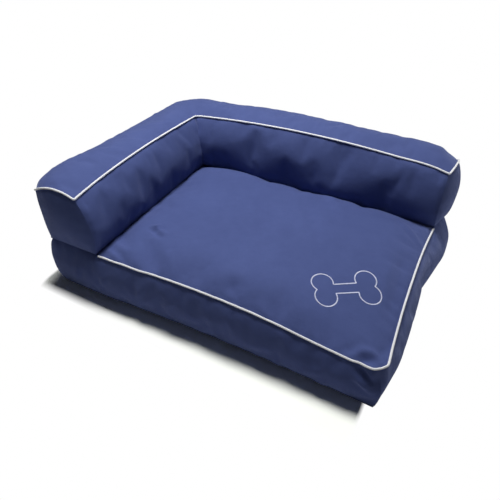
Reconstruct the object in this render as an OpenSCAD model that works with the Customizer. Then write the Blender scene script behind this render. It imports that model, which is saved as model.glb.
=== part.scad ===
// Dog sofa bed: a boxed mattress with an L-shaped bolster along its left side and its back.
// The origin is the middle of the footprint on the floor. The open front faces -Y, the arm is at -X.

/* [Mattress] */
// Width of the mattress between its side seams
bed_w = 800; // [720:10:900]
// Depth of the mattress between its front and back seams
bed_d = 600; // [520:10:700]
// Height of the mattress at its upper seam
base_h = 137; // [120:1:160]
// Radius of the mattress corners, seen from above
corner_r = 22; // [16:1:30]
// How far the left side, the front and the back swell past their seams
side_swell = 16; // [10:1:20]
// How far the middle of the right side swells past its seams
right_swell = 27; // [20:1:32]
// How far the right side swells below the back
rear_swell = 36; // [32:1:40]
// How far the bottom seam is tucked in under the sides
bottom_tuck = 3; // [1:1:14]
// Rise of the seat's crown above its seam
seat_crown = 26; // [14:1:34]
// Drop of the upper seam at the open front corner
corner_sag = 22; // [6:1:28]
// How far the open edges are drawn in between their corners
edge_pull = 9; // [2:1:14]
// Thickness of the wadding where it meets the side seams
wadding_edge = 16; // [10:1:24]

/* [Bolster] */
// Width of the arm's top
arm_w = 116; // [96:1:136]
// Width of the back's top
back_w = 128; // [104:1:150]
// Height of the bolster's piped edge above the mattress
bolster_h = 146; // [124:1:180]
// How far the arm's foot reaches over the seat, past its piped edge
arm_reach = 20; // [10:1:26]
// How far the back's foot reaches over the seat, past its piped edge
back_reach = 10; // [4:1:16]
// Radius of the bolster's shoulder where arm and back meet
elbow_r = 78; // [60:1:90]
// Swell of the inner faces between foot and piped edge
inner_swell = 9; // [4:1:14]
// Swell of the outer faces between shoulder and foot
outer_swell = 20; // [12:1:28]
// Swell of the arm's end face
arm_end_swell = 12; // [6:1:16]
// Swell of the back's end face
back_end_swell = 20; // [8:1:24]
// Rise of the bolster's top between its two edges
top_crown = 14; // [6:1:18]
// Drop of the outer shoulder below the piped edge
shoulder_drop = 4; // [2:1:16]
// Rise of the arm's piped edge between its ends
arm_bow = 6; // [2:1:10]
// Rise of the back's piped edge between its ends
back_bow = 15; // [4:1:18]
// How far the back's piped edge bends away from the seat
back_bend = 10; // [2:1:14]
// Drop of the piped edge at the two open ends
end_dip = 4; // [2:1:14]
// How far the arm's outer top corner reaches forward
ear_reach = 8; // [4:1:16]
// How far the shoulder is drawn in at the two open ends
end_pinch = 9; // [4:1:14]

/* [Cover] */
// Thickness of the cover fabric
fabric_t = 1; // [0.6:0.1:1.4]
// Clearance between layers that lie on each other
lay_gap = 0.3; // [0.2:0.05:0.4]
// Diameter of the piping
piping_d = 5; // [3.5:0.5:6.5]
// Length of the embroidered bone
bone_l = 138; // [100:2:160]
// Width of the embroidery's satin line
thread_w = 2.4; // [1.6:0.2:3]
// Height of the embroidery's satin line
thread_h = 0.8; // [0.6:0.1:1.2]

/* [Zips] */
// Length of the mattress zip's teeth
base_zip_l = 600; // [440:10:640]
// Length of the back's zip teeth
back_zip_l = 500; // [360:10:540]
// Open width between the two fabric edges beside a zip
zip_slot = 12; // [11:0.5:14]
// Width of one zip tape
tape_w = 14; // [12:0.5:16]
// Thickness of the zip tape
tape_t = 0.8; // [0.6:0.1:1]
// Width of the closed teeth
teeth_w = 6; // [5:0.2:6.4]
// Height of the closed teeth on their tapes
teeth_h = 2.6; // [2:0.1:3]
// Length of a zip slider
slider_l = 13; // [11:0.5:16]
// Length of a zip pull from its pivot
pull_l = 30; // [22:1:36]

/* [Hidden] */

navy = [0.20, 0.23, 0.45];
dark_navy = [0.13, 0.15, 0.30];
white_cord = [0.93, 0.94, 0.95];
pale_thread = [0.80, 0.82, 0.95];
fibre_white = [0.95, 0.95, 0.93];
foam_cream = [0.93, 0.88, 0.70];
bottom_black = [0.13, 0.14, 0.18];
nickel = [0.72, 0.72, 0.70];

// A value between two others, which it meets exactly at both ends.
function mix(a, b, share) = share == 1 ? b : a + (b - a) * share;
function clamp01(share) = min(1, max(0, share));
function ease(share) = let (c = clamp01(share)) c * c * (3 - 2 * c);
function arch(share, power) = 1 - pow(abs(2 * clamp01(share) - 1), power);

// A swelling profile from a first seam, past a level middle, to a last seam.
flat_from_share = 0.34;
flat_to_share = 0.64;
function swollen(share, first, middle, last) =
  share < flat_from_share ? mix(first, middle, sin(90 * share / flat_from_share))
  : share > flat_to_share ? mix(last, middle, sin(90 * (1 - share) / (1 - flat_to_share)))
  : middle;

// A closed solid from grids of points that share their borders: [[grid, flipped], ...].
function grid_faces(rows, columns, start, flipped) = [
  for (r = [0:rows - 2], c = [0:columns - 2])
    let (a = start + r * columns + c, b = a + 1, d = a + columns, e = d + 1)
    each flipped ? [[a, e, b], [a, d, e]] : [[a, b, e], [a, e, d]]
];
module patchwork(patches, flat_floor = false) {
  sizes = [for (p = patches) len(p[0]) * len(p[0][0])];
  starts = [for (i = 0, s = 0; i < len(patches); s = s + sizes[i], i = i + 1) s];
  points = [for (p = patches) each [for (row = p[0]) each row]];
  faces = [for (i = [0:len(patches) - 1])
    each grid_faces(len(patches[i][0]), len(patches[i][0][0]), starts[i], patches[i][1])];
  columns = len(patches[0][0][0]);
  floor_loop = [for (r = [0:len(patches[0][0]) - 2]) (r + 1) * columns - 1];
  polyhedron(points, flat_floor ? concat(faces, [floor_loop]) : faces, convexity = 6);
}

// One panel of fabric between its outer grid and its inner grid.
module panel(outside, inside, flipped = false) {
  last = len(outside) - 1;
  end = len(outside[0]) - 1;
  patchwork([
    [outside, flipped],
    [inside, !flipped],
    [[inside[0], outside[0]], flipped],
    [[outside[last], inside[last]], flipped],
    [[for (r = [0:last]) [inside[r][0], outside[r][0]]], flipped],
    [[for (r = [0:last]) [outside[r][end], inside[r][end]]], flipped]
  ]);
}

// A round or flattened tube along a route, each ring square to the route.
function unit(v) = v / norm(v);
function heading(before, at, after) = unit(unit(after - at) + unit(at - before));
function step_before(route, i, closed) =
  i > 0 ? route[i - 1] : closed ? route[len(route) - 1] : 2 * route[0] - route[1];
function step_after(route, i, closed) =
  let (last = len(route) - 1)
  i < last ? route[i + 1] : closed ? route[0] : 2 * route[last] - route[last - 1];
module tube(route, wide, high, sides, closed = false) {
  count = len(route);
  points = [for (i = [0:count - 1])
    let (forward = heading(step_before(route, i, closed), route[i], step_after(route, i, closed)),
      side = unit(cross(forward, [0, 0, 1])), up = cross(side, forward))
    for (k = [0:sides - 1])
      let (turn = (k + 0.5) * 360 / sides)
      route[i] + side * cos(turn) * wide / 2 + up * sin(turn) * high / 2];
  walls = [for (i = [0:closed ? count - 1 : count - 2], k = [0:sides - 1])
    let (next = (i + 1) % count, a = i * sides + k, b = i * sides + (k + 1) % sides,
      d = next * sides + k, e = next * sides + (k + 1) % sides)
    each [[a, b, e], [a, e, d]]];
  far = (count - 1) * sides;
  caps = closed ? [] : [for (k = [1:sides - 2]) each [[0, k + 1, k], [far, far + k, far + k + 1]]];
  polyhedron(points, concat(walls, caps), convexity = 8);
}

// The mattress in plan. Its corners are round, and its open edges are drawn in.
half_w = bed_w / 2;
half_d = bed_d / 2;
edge_x = half_w - corner_r;
edge_y = half_d - corner_r;
skin = fabric_t + lay_gap;
core_inset = skin + tape_t + lay_gap;
arm_foot_x = -half_w + arm_w + arm_reach;
back_foot_y = half_d - back_w - back_reach;
corner_shares = [1, 0.5];
function spread(from, to, cells) = [for (i = [1:cells]) mix(from, to, i / cells)];
function mattress_lines(low, split, high, low_cells, high_cells) = concat(
  [for (s = corner_shares) low - corner_r * s],
  [low],
  spread(low, split, low_cells),
  spread(split, high, high_cells),
  [for (i = [1, 0]) high + corner_r * corner_shares[i]]
);
across = mattress_lines(-edge_x, arm_foot_x, edge_x, 2, 9);
along = mattress_lines(-edge_y, back_foot_y, edge_y, 7, 2);
last_across = len(across) - 1;
last_along = len(along) - 1;

function past_edge(p) = [max(abs(p.x) - edge_x, 0), max(abs(p.y) - edge_y, 0)];
function drawn_in(p) = [
  p.x - edge_pull * clamp01(p.x / half_w)
    * arch((p.y + half_d) / (back_foot_y + half_d), 2),
  p.y + edge_pull * clamp01(-p.y / half_d)
    * arch((p.x - arm_foot_x) / (half_w - arm_foot_x), 2)
];
function plan(p, inset) =
  let (past = past_edge(p) * (corner_r - inset) / corner_r,
    k = past.x > 0 && past.y > 0 ? max(past.x, past.y) / norm(past) : 1)
  drawn_in([
    sign(p.x) * (min(abs(p.x), edge_x) + past.x * k),
    sign(p.y) * (min(abs(p.y), edge_y) + past.y * k)
  ]);
function outward(p) = let (past = past_edge(p)) unit([sign(p.x) * past.x, sign(p.y) * past.y]);

// Height of the mattress's top: level under the bolster, crowned over the seat.
sag_start_share = 0.15;
sag_end_share = 0.85;
function sag(p) = corner_sag
  * ease((p.x / half_w - sag_start_share) / (sag_end_share - sag_start_share))
  * ease((-p.y / half_d - sag_start_share) / (sag_end_share - sag_start_share));
crown_power = 3;
function crown(p) = seat_crown
  * arch((p.x - arm_foot_x) / (half_w - arm_foot_x), crown_power)
  * arch((p.y + half_d) / (back_foot_y + half_d), crown_power);
function top_point(p, inset, down, crowned = 1) =
  let (q = plan(p, inset)) [q.x, q.y, base_h - sag(p) + crown(p) * crowned - down];
function top_grid(inset, down, crowned = 1) =
  [for (x = across) [for (y = along) top_point([x, y], inset, down, crowned)]];

// The mattress's sides: rows of points from the upper seam down to the bottom seam.
rear_reach_share = 0.6;
front_reach_share = 0.6;
function right_extra(p) = p.x < 0 ? 0 : past_edge(p).x / corner_r
  * ((right_swell - side_swell) * ease((p.y / half_d + 1) / front_reach_share)
    + (rear_swell - right_swell) * ease(p.y / half_d / rear_reach_share));
function side_point(p, share, inset, down) =
  let (top = top_point(p, inset, down, 0),
    out = outward(p) * swollen(share, 0, side_swell, -bottom_tuck)
      + [right_extra(p) * swollen(share, 0, 1, 0), 0])
  [top.x + out.x, top.y + out.y, mix(top.z, skin, share)];
side_rows = 8;
function wadding_share(p, down) = wadding_edge / (top_point(p, 0, down, 0).z - skin);
function side_share(p, row, down) = row == 0 ? 0
  : mix(wadding_share(p, down), 1, (row - 1) / (side_rows - 1));
function side_grid(run, from, to, inset, down) =
  [for (p = run) [for (r = [from:to]) side_point(p, side_share(p, r, down), inset, down)]];

// The lines of the seam run round the mattress against the clock, seen from above.
left_run = [for (j = [last_along:-1:0]) [-half_w, along[j]]];
front_run = [for (i = [1:last_across]) [across[i], -half_d]];
right_run = [for (j = [1:last_along]) [half_w, along[j]]];
back_run = [for (i = [last_across - 1:-1:0]) [across[i], half_d]];
seam_run = concat(left_run, front_run, right_run, back_run);
stop_l = 3;
slot_past = stop_l + 2;
half_base_slot = base_zip_l / 2 + slot_past;
boxing_run = concat(
  [[-half_base_slot, half_d], [-edge_x, half_d], [across[1], half_d]],
  left_run, front_run, right_run,
  [[across[last_across - 1], half_d], [edge_x, half_d], [half_base_slot, half_d]]
);
back_strip_cells = 10;
back_strip = [for (i = [0:back_strip_cells])
  [mix(half_base_slot, -half_base_slot, i / back_strip_cells), half_d]];

// The level middle of the mattress's back carries its zip.
zip_share = (flat_from_share + flat_to_share) / 2;
base_zip_z = mix(base_h - skin, skin, zip_share);
half_slot_share = zip_slot / 2 / (base_h - 2 * skin);
strip_rows = 4;
function strip_grid(from, to, inset) = [
  for (p = back_strip)
    [for (r = [0:strip_rows]) side_point(p, mix(from, to, r / strip_rows), inset, skin)]
];

// The level layer that parts the foam slab from the wadding above it.
function layer_point(i, j, inset, down) =
  let (p = [across[i], along[j]], share = wadding_share(p, down),
    on_seam = i == 0 || i == last_across || j == 0 || j == last_along)
  on_seam ? side_point(p, share, inset, down)
  : let (top = top_point(p, inset, down, 0)) [top.x, top.y, mix(top.z, skin, share)];
function layer_grid(inset, down) = [
  for (i = [0:last_across]) [for (j = [0:last_along]) layer_point(i, j, inset, down)]
];
wadding_down = skin + lay_gap;
foam_down = wadding_down + lay_gap;

module base_foam() {
  color(foam_cream) patchwork([
    [side_grid(seam_run, 1, side_rows, core_inset, foam_down), true],
    [layer_grid(core_inset, foam_down), false]
  ], flat_floor = true);
}

module base_wadding() {
  color(fibre_white) patchwork([
    [side_grid(seam_run, 0, 1, core_inset, wadding_down), true],
    [top_grid(core_inset, wadding_down), false],
    [layer_grid(core_inset, wadding_down), true]
  ]);
}

module base_bottom_panel() {
  outline = [for (p = seam_run) let (q = side_point(p, 1, 0, skin)) [q.x, q.y]];
  color(bottom_black) linear_extrude(fabric_t) polygon(outline);
}

module base_boxing() {
  color(navy) panel(
    side_grid(boxing_run, 0, side_rows, 0, skin),
    side_grid(boxing_run, 0, side_rows, fabric_t, skin),
    true
  );
}

module base_back_strip(from, to) {
  color(navy) panel(strip_grid(from, to, 0), strip_grid(from, to, fabric_t), true);
}

module base_back_upper() {
  base_back_strip(0, zip_share - half_slot_share);
}

module base_back_lower() {
  base_back_strip(zip_share + half_slot_share, 1);
}

module base_seat_panel() {
  color(navy) panel(top_grid(0, 0), top_grid(0, fabric_t));
}

// The piping runs round the open edges, from the arm's foot to the back's foot.
piping_out = piping_d / 2 + lay_gap;
module base_piping() {
  open_edge = concat(
    [[arm_foot_x + piping_d, -half_d]],
    [for (p = front_run) if (p.x > arm_foot_x + piping_d) p],
    [for (p = right_run) if (p.y < back_foot_y - piping_d) p],
    [[half_w, back_foot_y - piping_d]]
  );
  route = [for (p = open_edge)
    let (q = top_point(p, 0, fabric_t / 2, 0), out = outward(p) * piping_out)
    q + [out.x, out.y, 0]];
  color(white_cord) tube(route, piping_d, piping_d, 8);
}

// The bolster follows four lines, each along the arm, round the elbow and along the back.
// A line is given by its place on the arm, its place on the back and its elbow's radius.
arm_cells = 6;
elbow_cells = 4;
zip_cells = 6;
elbow_end = arm_cells + elbow_cells;
zip_first = elbow_end + 1;
zip_last = zip_first + zip_cells;
last_spot = zip_last + 1;
mitre_spot = arm_cells + elbow_cells / 2;
foot_corner_r = 12;
edge_corner_r = 8;
foot_line = [arm_foot_x, back_foot_y, foot_corner_r];
edge_line = [arm_foot_x - arm_reach, back_foot_y + back_reach, edge_corner_r];
shoulder_line = [-half_w, half_d, elbow_r];
seam_line = [-half_w, half_d, corner_r];
back_zip_x = elbow_r / 2;
zip_from_x = back_zip_x - back_zip_l / 2 - slot_past;
zip_to_x = back_zip_x + back_zip_l / 2 + slot_past;
function elbow_turn(k) = 90 * clamp01((k - arm_cells) / elbow_cells);
function along_line(line, k) =
  k < arm_cells ? [line.x, mix(-half_d, foot_line.y - foot_line.z, k / arm_cells)]
  : k <= elbow_end
    ? [line.x + line.z, line.y - line.z]
      + line.z * [-cos(elbow_turn(k)), sin(elbow_turn(k))]
  : [k > zip_last ? half_w : mix(zip_from_x, zip_to_x, (k - zip_first) / zip_cells), line.y];
function seat_side(k) = [cos(elbow_turn(k)), -sin(elbow_turn(k))];

// Shares of the way along the arm and along the back.
function arm_share(k) = clamp01(k / arm_cells);
function back_share(k) = k <= elbow_end ? 0
  : (along_line(edge_line, k).x - edge_line.x) / (half_w - edge_line.x);
dip_power = 6;
arm_bend_share = 0.4;
function edge_z(k) = base_h + bolster_h
  + arm_bow * arch(arm_share(k), 2) + back_bow * arch(back_share(k), 2)
  - end_dip * (pow(1 - arm_share(k), dip_power) + pow(back_share(k), dip_power));
function edge_bend(k) = back_bend
  * (arm_bend_share * arch(arm_share(k), 2) + arch(back_share(k), 2));
function edge_spot(k) = along_line(edge_line, k) - seat_side(k) * edge_bend(k);
end_fullness_share = 0.25;
function fullness(k) = k == 0 || k == last_spot ? end_fullness_share : 1;
function ear(k, up) =
  k == 0 ? up * [end_pinch, -ear_reach, 0]
  : k == last_spot ? up * [0, -end_pinch, 0]
  : [0, 0, 0];
function from_end(k, inset) =
  k == 0 ? [0, inset, 0] : k == last_spot ? [-inset, 0, 0] : [0, 0, 0];

// Points of the bolster's faces at one spot, each face by its share down or over.
foot_z = base_h + 2 * lay_gap + fabric_t;
face_rows = 7;
top_cells = 5;
function spot_point(xy, z) = [xy.x, xy.y, z];
function inner_point(k, share, inset, down) = spot_point(
  mix(edge_spot(k), along_line(foot_line, k), share)
    + seat_side(k) * (swollen(share, 0, inner_swell, 0) - inset),
  mix(edge_z(k) - down, foot_z, share)) + from_end(k, inset);
function outer_point(k, share, inset, down) = spot_point(
  mix(along_line(shoulder_line, k), along_line(seam_line, k), share)
    - seat_side(k) * (swollen(share, 0, outer_swell * fullness(k), 0) - inset),
  mix(edge_z(k) - shoulder_drop - down, foot_z, share))
  + ear(k, 1 - share) + from_end(k, inset);
function over_point(k, share, inset, down) =
  mix(inner_point(k, 0, inset, down), outer_point(k, 0, inset, down), share)
  + [0, 0, top_crown * arch(share, 2)];
function under_point(k, share, inset, down) =
  mix(inner_point(k, 1, inset, down), outer_point(k, 1, inset, down), share);

function inner_grid(from, to, inset, down) = [for (k = [from:to])
  [for (r = [0:face_rows]) inner_point(k, r / face_rows, inset, down)]];
function outer_grid(from, to, inset, down) = [for (k = [from:to])
  [for (r = [0:face_rows]) outer_point(k, r / face_rows, inset, down)]];
function over_grid(from, to, inset, down) = [for (k = [from:to])
  [for (c = [0:top_cells]) over_point(k, c / top_cells, inset, down)]];
function under_grid(from, to, inset, down) = [for (k = [from:to])
  [for (c = [0:top_cells]) under_point(k, c / top_cells, inset, down)]];

// A face across the bolster at one spot, between the borders of its four faces.
function across_point(k, u, v, inset, down) =
  v == 0 ? over_point(k, u, inset, down)
  : v == 1 ? under_point(k, u, inset, down)
  : u == 0 ? inner_point(k, v, inset, down)
  : u == 1 ? outer_point(k, v, inset, down)
  : mix(over_point(k, u, inset, down), under_point(k, u, inset, down), v)
    + mix(inner_point(k, v, inset, down), outer_point(k, v, inset, down), u)
    - mix(mix(over_point(k, 0, inset, down), over_point(k, 1, inset, down), u),
      mix(under_point(k, 0, inset, down), under_point(k, 1, inset, down), u), v);
function across_grid(k, inset, down, out) = [for (r = [0:face_rows])
  [for (c = [0:top_cells]) let (u = c / top_cells, v = r / face_rows)
    across_point(k, u, v, inset, down) + out * arch(u, 2) * arch(v, 2)]];
function moved(grid, by) = [for (row = grid) [for (p = row) p + by]];

arm_end_way = [0, -1, 0];
back_end_way = [1, 0, 0];
arm_end_out = arm_end_way * arm_end_swell;
back_end_out = back_end_way * back_end_swell;
filling_down = skin + lay_gap;
module filling(from, to, from_out, to_out) {
  first = across_grid(from, core_inset, filling_down, from_out);
  final = across_grid(to, core_inset, filling_down, to_out);
  patchwork([
    [inner_grid(from, to, core_inset, filling_down), true],
    [outer_grid(from, to, core_inset, filling_down), false],
    [over_grid(from, to, core_inset, filling_down), false],
    [under_grid(from, to, core_inset, filling_down), true],
    [first, true],
    [final, false]
  ]);
}

module arm_filling() {
  color(fibre_white) filling(0, mitre_spot, arm_end_out, [0, 0, 0]);
}

module back_filling() {
  color(fibre_white) filling(mitre_spot, last_spot, [0, 0, 0], back_end_out);
}

module bolster_under_panel() {
  outline = concat(
    [for (k = [0:last_spot]) along_line(foot_line, k)],
    [for (k = [last_spot:-1:0]) along_line(seam_line, k)]
  );
  color(navy) translate([0, 0, base_h + lay_gap]) linear_extrude(fabric_t) polygon(outline);
}

module bolster_top_panel() {
  color(navy) panel(over_grid(0, last_spot, 0, 0), over_grid(0, last_spot, 0, fabric_t));
}

module inner_panel(from, to) {
  color(navy) panel(inner_grid(from, to, 0, skin), inner_grid(from, to, fabric_t, skin), true);
}

module arm_inner_panel() {
  inner_panel(0, mitre_spot);
}

module back_inner_panel() {
  inner_panel(mitre_spot, last_spot);
}

module outer_panel(from, to) {
  color(navy)
    panel(outer_grid(from, to, 0, skin), outer_grid(from, to, fabric_t, skin));
}

module arm_outer_panel() {
  outer_panel(0, zip_first);
}

module back_outer_side() {
  outer_panel(zip_last, last_spot);
}

// The bolster's zip lies in the level middle of the back's outer face.
back_zip_z = mix(base_h + bolster_h - shoulder_drop - skin, foot_z, zip_share);
function slot_share(k, z) =
  let (top = edge_z(k) - shoulder_drop - skin) (top - z) / (top - foot_z);
function outer_strip(from_z, to_z, inset) = [for (k = [zip_first:zip_last])
  let (from = from_z == undef ? 0 : slot_share(k, from_z),
    to = to_z == undef ? 1 : slot_share(k, to_z))
  [for (r = [0:strip_rows]) outer_point(k, mix(from, to, r / strip_rows), inset, skin)]];
module outer_strip_panel(from_z, to_z) {
  color(navy)
    panel(outer_strip(from_z, to_z, 0), outer_strip(from_z, to_z, fabric_t));
}

module back_outer_upper() {
  outer_strip_panel(undef, back_zip_z + zip_slot / 2);
}

module back_outer_lower() {
  outer_strip_panel(back_zip_z - zip_slot / 2, undef);
}

end_out = fabric_t + 2 * lay_gap;
module end_panel(k, way, swell, flipped) {
  face = across_grid(k, 0, 0, way * swell);
  color(navy) panel(moved(face, way * end_out), moved(face, way * 2 * lay_gap), flipped);
}

module arm_end_panel() {
  end_panel(0, arm_end_way, arm_end_swell, true);
}

module back_end_panel() {
  end_panel(last_spot, back_end_way, back_end_swell, false);
}

// The bolster's piping: over the arm's end, along the inner edge, over the back's end.
piping_lift = 1;
module bolster_piping() {
  edge_out = [for (k = [0:last_spot]) seat_side(k) * piping_out];
  lift = [0, 0, piping_lift];
  turn = piping_d;
  arm_way = arm_end_way * (piping_out + end_out + 2 * lay_gap);
  back_way = back_end_way * (piping_out + end_out + 2 * lay_gap);
  route = concat(
    [for (c = [top_cells:-1:1]) over_point(0, c / top_cells, 0, 0) + arm_way],
    [over_point(0, 0, 0, 0) + arm_way - [turn, 0, 0]],
    [over_point(0, 0, 0, 0) + (arm_way + spot_point(edge_out[0], 0))],
    [over_point(0, 0, 0, 0) + spot_point(edge_out[0], 0) + [0, turn, 0]],
    [for (k = [1:last_spot - 1]) over_point(k, 0, 0, 0) + spot_point(edge_out[k], 0)],
    [over_point(last_spot, 0, 0, 0) + spot_point(edge_out[last_spot], 0) - [turn, 0, 0]],
    [over_point(last_spot, 0, 0, 0) + back_way + spot_point(edge_out[last_spot], 0)],
    [over_point(last_spot, 0, 0, 0) + back_way + [0, turn, 0]],
    [for (c = [1:top_cells]) over_point(last_spot, c / top_cells, 0, 0) + back_way]
  );
  color(white_cord) tube([for (p = route) p + lift], piping_d, piping_d, 8);
}

// A point on the seat panel's own faces, by its place before the edges are drawn in.
function cell_of(lines, at) = max([for (n = [0:len(lines) - 2]) if (n == 0 || lines[n] <= at) n]);
function seat_point(p) =
  let (i = cell_of(across, p.x), j = cell_of(along, p.y),
    u = (p.x - across[i]) / (across[i + 1] - across[i]),
    v = (p.y - along[j]) / (along[j + 1] - along[j]),
    here = top_point([across[i], along[j]], 0, 0),
    far = top_point([across[i + 1], along[j + 1]], 0, 0),
    side = u < v ? top_point([across[i], along[j + 1]], 0, 0)
      : top_point([across[i + 1], along[j]], 0, 0))
  here + (side - here) * max(u, v) + (far - side) * min(u, v);

// A bone stitched in satin line on the seat: two round knuckles at each end of a shaft.
bone_x_share = 0.69;
bone_y_share = -0.53;
bone_turn = 34;
knuckle_share = 0.165;
knuckle_apart_share = 0.125;
shaft_share = 0.08;
knuckle_steps = 7;
module embroidered_bone() {
  knuckle = bone_l * knuckle_share;
  apart = bone_l * knuckle_apart_share;
  notch = asin(apart / knuckle);
  neck = 180 + asin((apart - bone_l * shaft_share) / knuckle);
  quarter = [for (i = [0:knuckle_steps]) let (turn = mix(neck, -notch, i / knuckle_steps))
    [bone_l / 2 - knuckle + knuckle * cos(turn), apart + knuckle * sin(turn)]];
  half = concat(quarter, [for (i = [knuckle_steps - 1:-1:0]) [quarter[i].x, -quarter[i].y]]);
  outline = concat(half, [for (p = half) -p]);
  centre = [half_w * bone_x_share, half_d * bone_y_share];
  route = [for (p = outline)
    let (q = centre + [p.x * cos(bone_turn) - p.y * sin(bone_turn),
        p.x * sin(bone_turn) + p.y * cos(bone_turn)])
    seat_point(q) + [0, 0, lay_gap + thread_h / 2]];
  color(pale_thread) tube(route, thread_w, thread_h, 6, closed = true);
}

// A zip, drawn with its fabric's outer face at y = 0 and its teeth along x.
stop_extra = 1;
run_gap = 0.25;
plate_t = 1.2;
nose_from_share = 0.35;
nose_width_share = 0.7;
flange_t = 1.1;
pin_d = 1.6;
eye_bore_d = 2.1;
eye_d = 3.4;
eye_w = 4.6;
ear_t = 1.1;
ear_l = 4;
pull_w = 8;
pull_neck_l = 5;
pull_t = 1.5;
tape_split = 0.4;
teeth_top = teeth_h - skin;
plate_y = teeth_top + run_gap;
pivot_y = plate_y + plate_t + eye_d / 2 + lay_gap;
function slider_rest(l) = -l / 2 + slider_l / 2 + lay_gap;

module zip_tapes(l) {
  tape_l = l + 2 * (slot_past - lay_gap);
  color(dark_navy) for (side = [0, 1]) mirror([0, 0, side])
    translate([-tape_l / 2, -skin - tape_t, tape_split / 2]) cube([tape_l, tape_t, tape_w]);
}

module zip_teeth(l) {
  color(dark_navy) translate([-l / 2, -skin, -teeth_w / 2]) cube([l, teeth_h, teeth_w]);
}

module zip_stops(l) {
  color(nickel) for (side = [0, 1]) mirror([side, 0, 0])
    translate([l / 2, -skin, -teeth_w / 2 - stop_extra / 2])
      cube([stop_l, teeth_h, teeth_w + stop_extra]);
}

module zip_slider(l) {
  channel = teeth_w / 2 + run_gap;
  outer_z = channel + flange_t;
  nose_z = outer_z * nose_width_share;
  nose_x = slider_l * nose_from_share;
  flange_y = -skin + lay_gap;
  outline = [
    [-slider_l / 2, -outer_z], [nose_x, -outer_z], [slider_l / 2, -nose_z],
    [slider_l / 2, nose_z], [nose_x, outer_z], [-slider_l / 2, outer_z]
  ];
  color(nickel) translate([slider_rest(l), 0, 0]) {
    translate([0, plate_y + plate_t, 0]) rotate([90, 0, 0]) linear_extrude(plate_t)
      polygon(outline);
    for (side = [0, 1]) mirror([0, 0, side])
      translate([-slider_l / 2, flange_y, channel])
        cube([slider_l / 2 + nose_x, plate_y - flange_y, flange_t]);
    for (side = [0, 1]) mirror([0, 0, side])
      translate([-ear_l / 2, plate_y + plate_t, eye_w / 2 + run_gap])
        cube([ear_l, pivot_y - plate_y - plate_t + pin_d, ear_t]);
    translate([0, pivot_y, 0])
      cylinder(d = pin_d, h = eye_w + 2 * (run_gap + ear_t), center = true, $fn = 32);
  }
}

module zip_pull(l) {
  neck_z = eye_w / 2;
  outline = [
    [0, -neck_z], [pull_neck_l, -neck_z], [pull_neck_l + ear_t, -pull_w / 2],
    [pull_l - ear_t, -pull_w / 2], [pull_l, -pull_w / 2 + ear_t],
    [pull_l, pull_w / 2 - ear_t], [pull_l - ear_t, pull_w / 2],
    [pull_neck_l + ear_t, pull_w / 2], [pull_neck_l, neck_z], [0, neck_z]
  ];
  color(nickel) translate([slider_rest(l), pivot_y, 0]) difference() {
    union() {
      cylinder(d = eye_d, h = eye_w, center = true, $fn = 32);
      translate([0, pull_t / 2, 0]) rotate([90, 0, 0]) linear_extrude(pull_t)
        polygon(outline);
    }
    cylinder(d = eye_bore_d, h = 2 * eye_w, center = true, $fn = 32);
  }
}

module at_base_zip() {
  translate([0, half_d + side_swell, base_zip_z]) children();
}

module at_back_zip() {
  translate([back_zip_x, half_d + outer_swell, back_zip_z]) children();
}

module base_zip_tapes() {
  at_base_zip() zip_tapes(base_zip_l);
}

module base_zip_teeth() {
  at_base_zip() zip_teeth(base_zip_l);
}

module base_zip_stops() {
  at_base_zip() zip_stops(base_zip_l);
}

module base_zip_slider() {
  at_base_zip() zip_slider(base_zip_l);
}

module base_zip_pull() {
  at_base_zip() zip_pull(base_zip_l);
}

module back_zip_tapes() {
  at_back_zip() zip_tapes(back_zip_l);
}

module back_zip_teeth() {
  at_back_zip() zip_teeth(back_zip_l);
}

module back_zip_stops() {
  at_back_zip() zip_stops(back_zip_l);
}

module back_zip_slider() {
  at_back_zip() zip_slider(back_zip_l);
}

module back_zip_pull() {
  at_back_zip() zip_pull(back_zip_l);
}

base_foam();
base_wadding();
base_bottom_panel();
base_boxing();
base_back_upper();
base_back_lower();
base_seat_panel();
base_piping();
arm_filling();
back_filling();
bolster_under_panel();
bolster_top_panel();
arm_inner_panel();
back_inner_panel();
arm_outer_panel();
back_outer_upper();
back_outer_lower();
back_outer_side();
arm_end_panel();
back_end_panel();
bolster_piping();
embroidered_bone();
base_zip_tapes();
base_zip_teeth();
base_zip_stops();
base_zip_slider();
base_zip_pull();
back_zip_tapes();
back_zip_teeth();
back_zip_stops();
back_zip_slider();
back_zip_pull();
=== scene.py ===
# %% [markdown]
# # A dog sofa bed
# A boxed mattress carries an L-shaped bolster along its left side and its back. The cover is
# navy Oxford cloth with white piping, and the cover and its stuffing are made piece by piece.
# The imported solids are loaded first. They are the frame, and each soft one is replaced below.

# %% The frame
import math

import bmesh
import bpy
import numpy as np
from mathutils import Matrix, Vector, noise
from mathutils.bvhtree import BVHTree
from mathutils.kdtree import KDTree


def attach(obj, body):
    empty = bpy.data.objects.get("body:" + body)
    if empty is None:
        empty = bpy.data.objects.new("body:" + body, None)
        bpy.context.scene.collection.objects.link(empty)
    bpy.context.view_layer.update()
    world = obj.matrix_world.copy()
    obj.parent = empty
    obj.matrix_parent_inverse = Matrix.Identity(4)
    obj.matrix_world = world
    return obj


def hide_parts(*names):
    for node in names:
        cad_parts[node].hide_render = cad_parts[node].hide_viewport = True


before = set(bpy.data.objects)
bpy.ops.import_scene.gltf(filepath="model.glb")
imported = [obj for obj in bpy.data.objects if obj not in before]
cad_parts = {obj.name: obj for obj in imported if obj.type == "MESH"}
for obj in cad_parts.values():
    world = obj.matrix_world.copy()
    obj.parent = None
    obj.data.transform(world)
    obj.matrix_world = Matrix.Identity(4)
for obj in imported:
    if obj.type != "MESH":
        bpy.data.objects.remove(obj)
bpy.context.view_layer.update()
bpy.ops.object.select_all(action="DESELECT")
scene = bpy.context.scene
MM = 0.001

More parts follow.
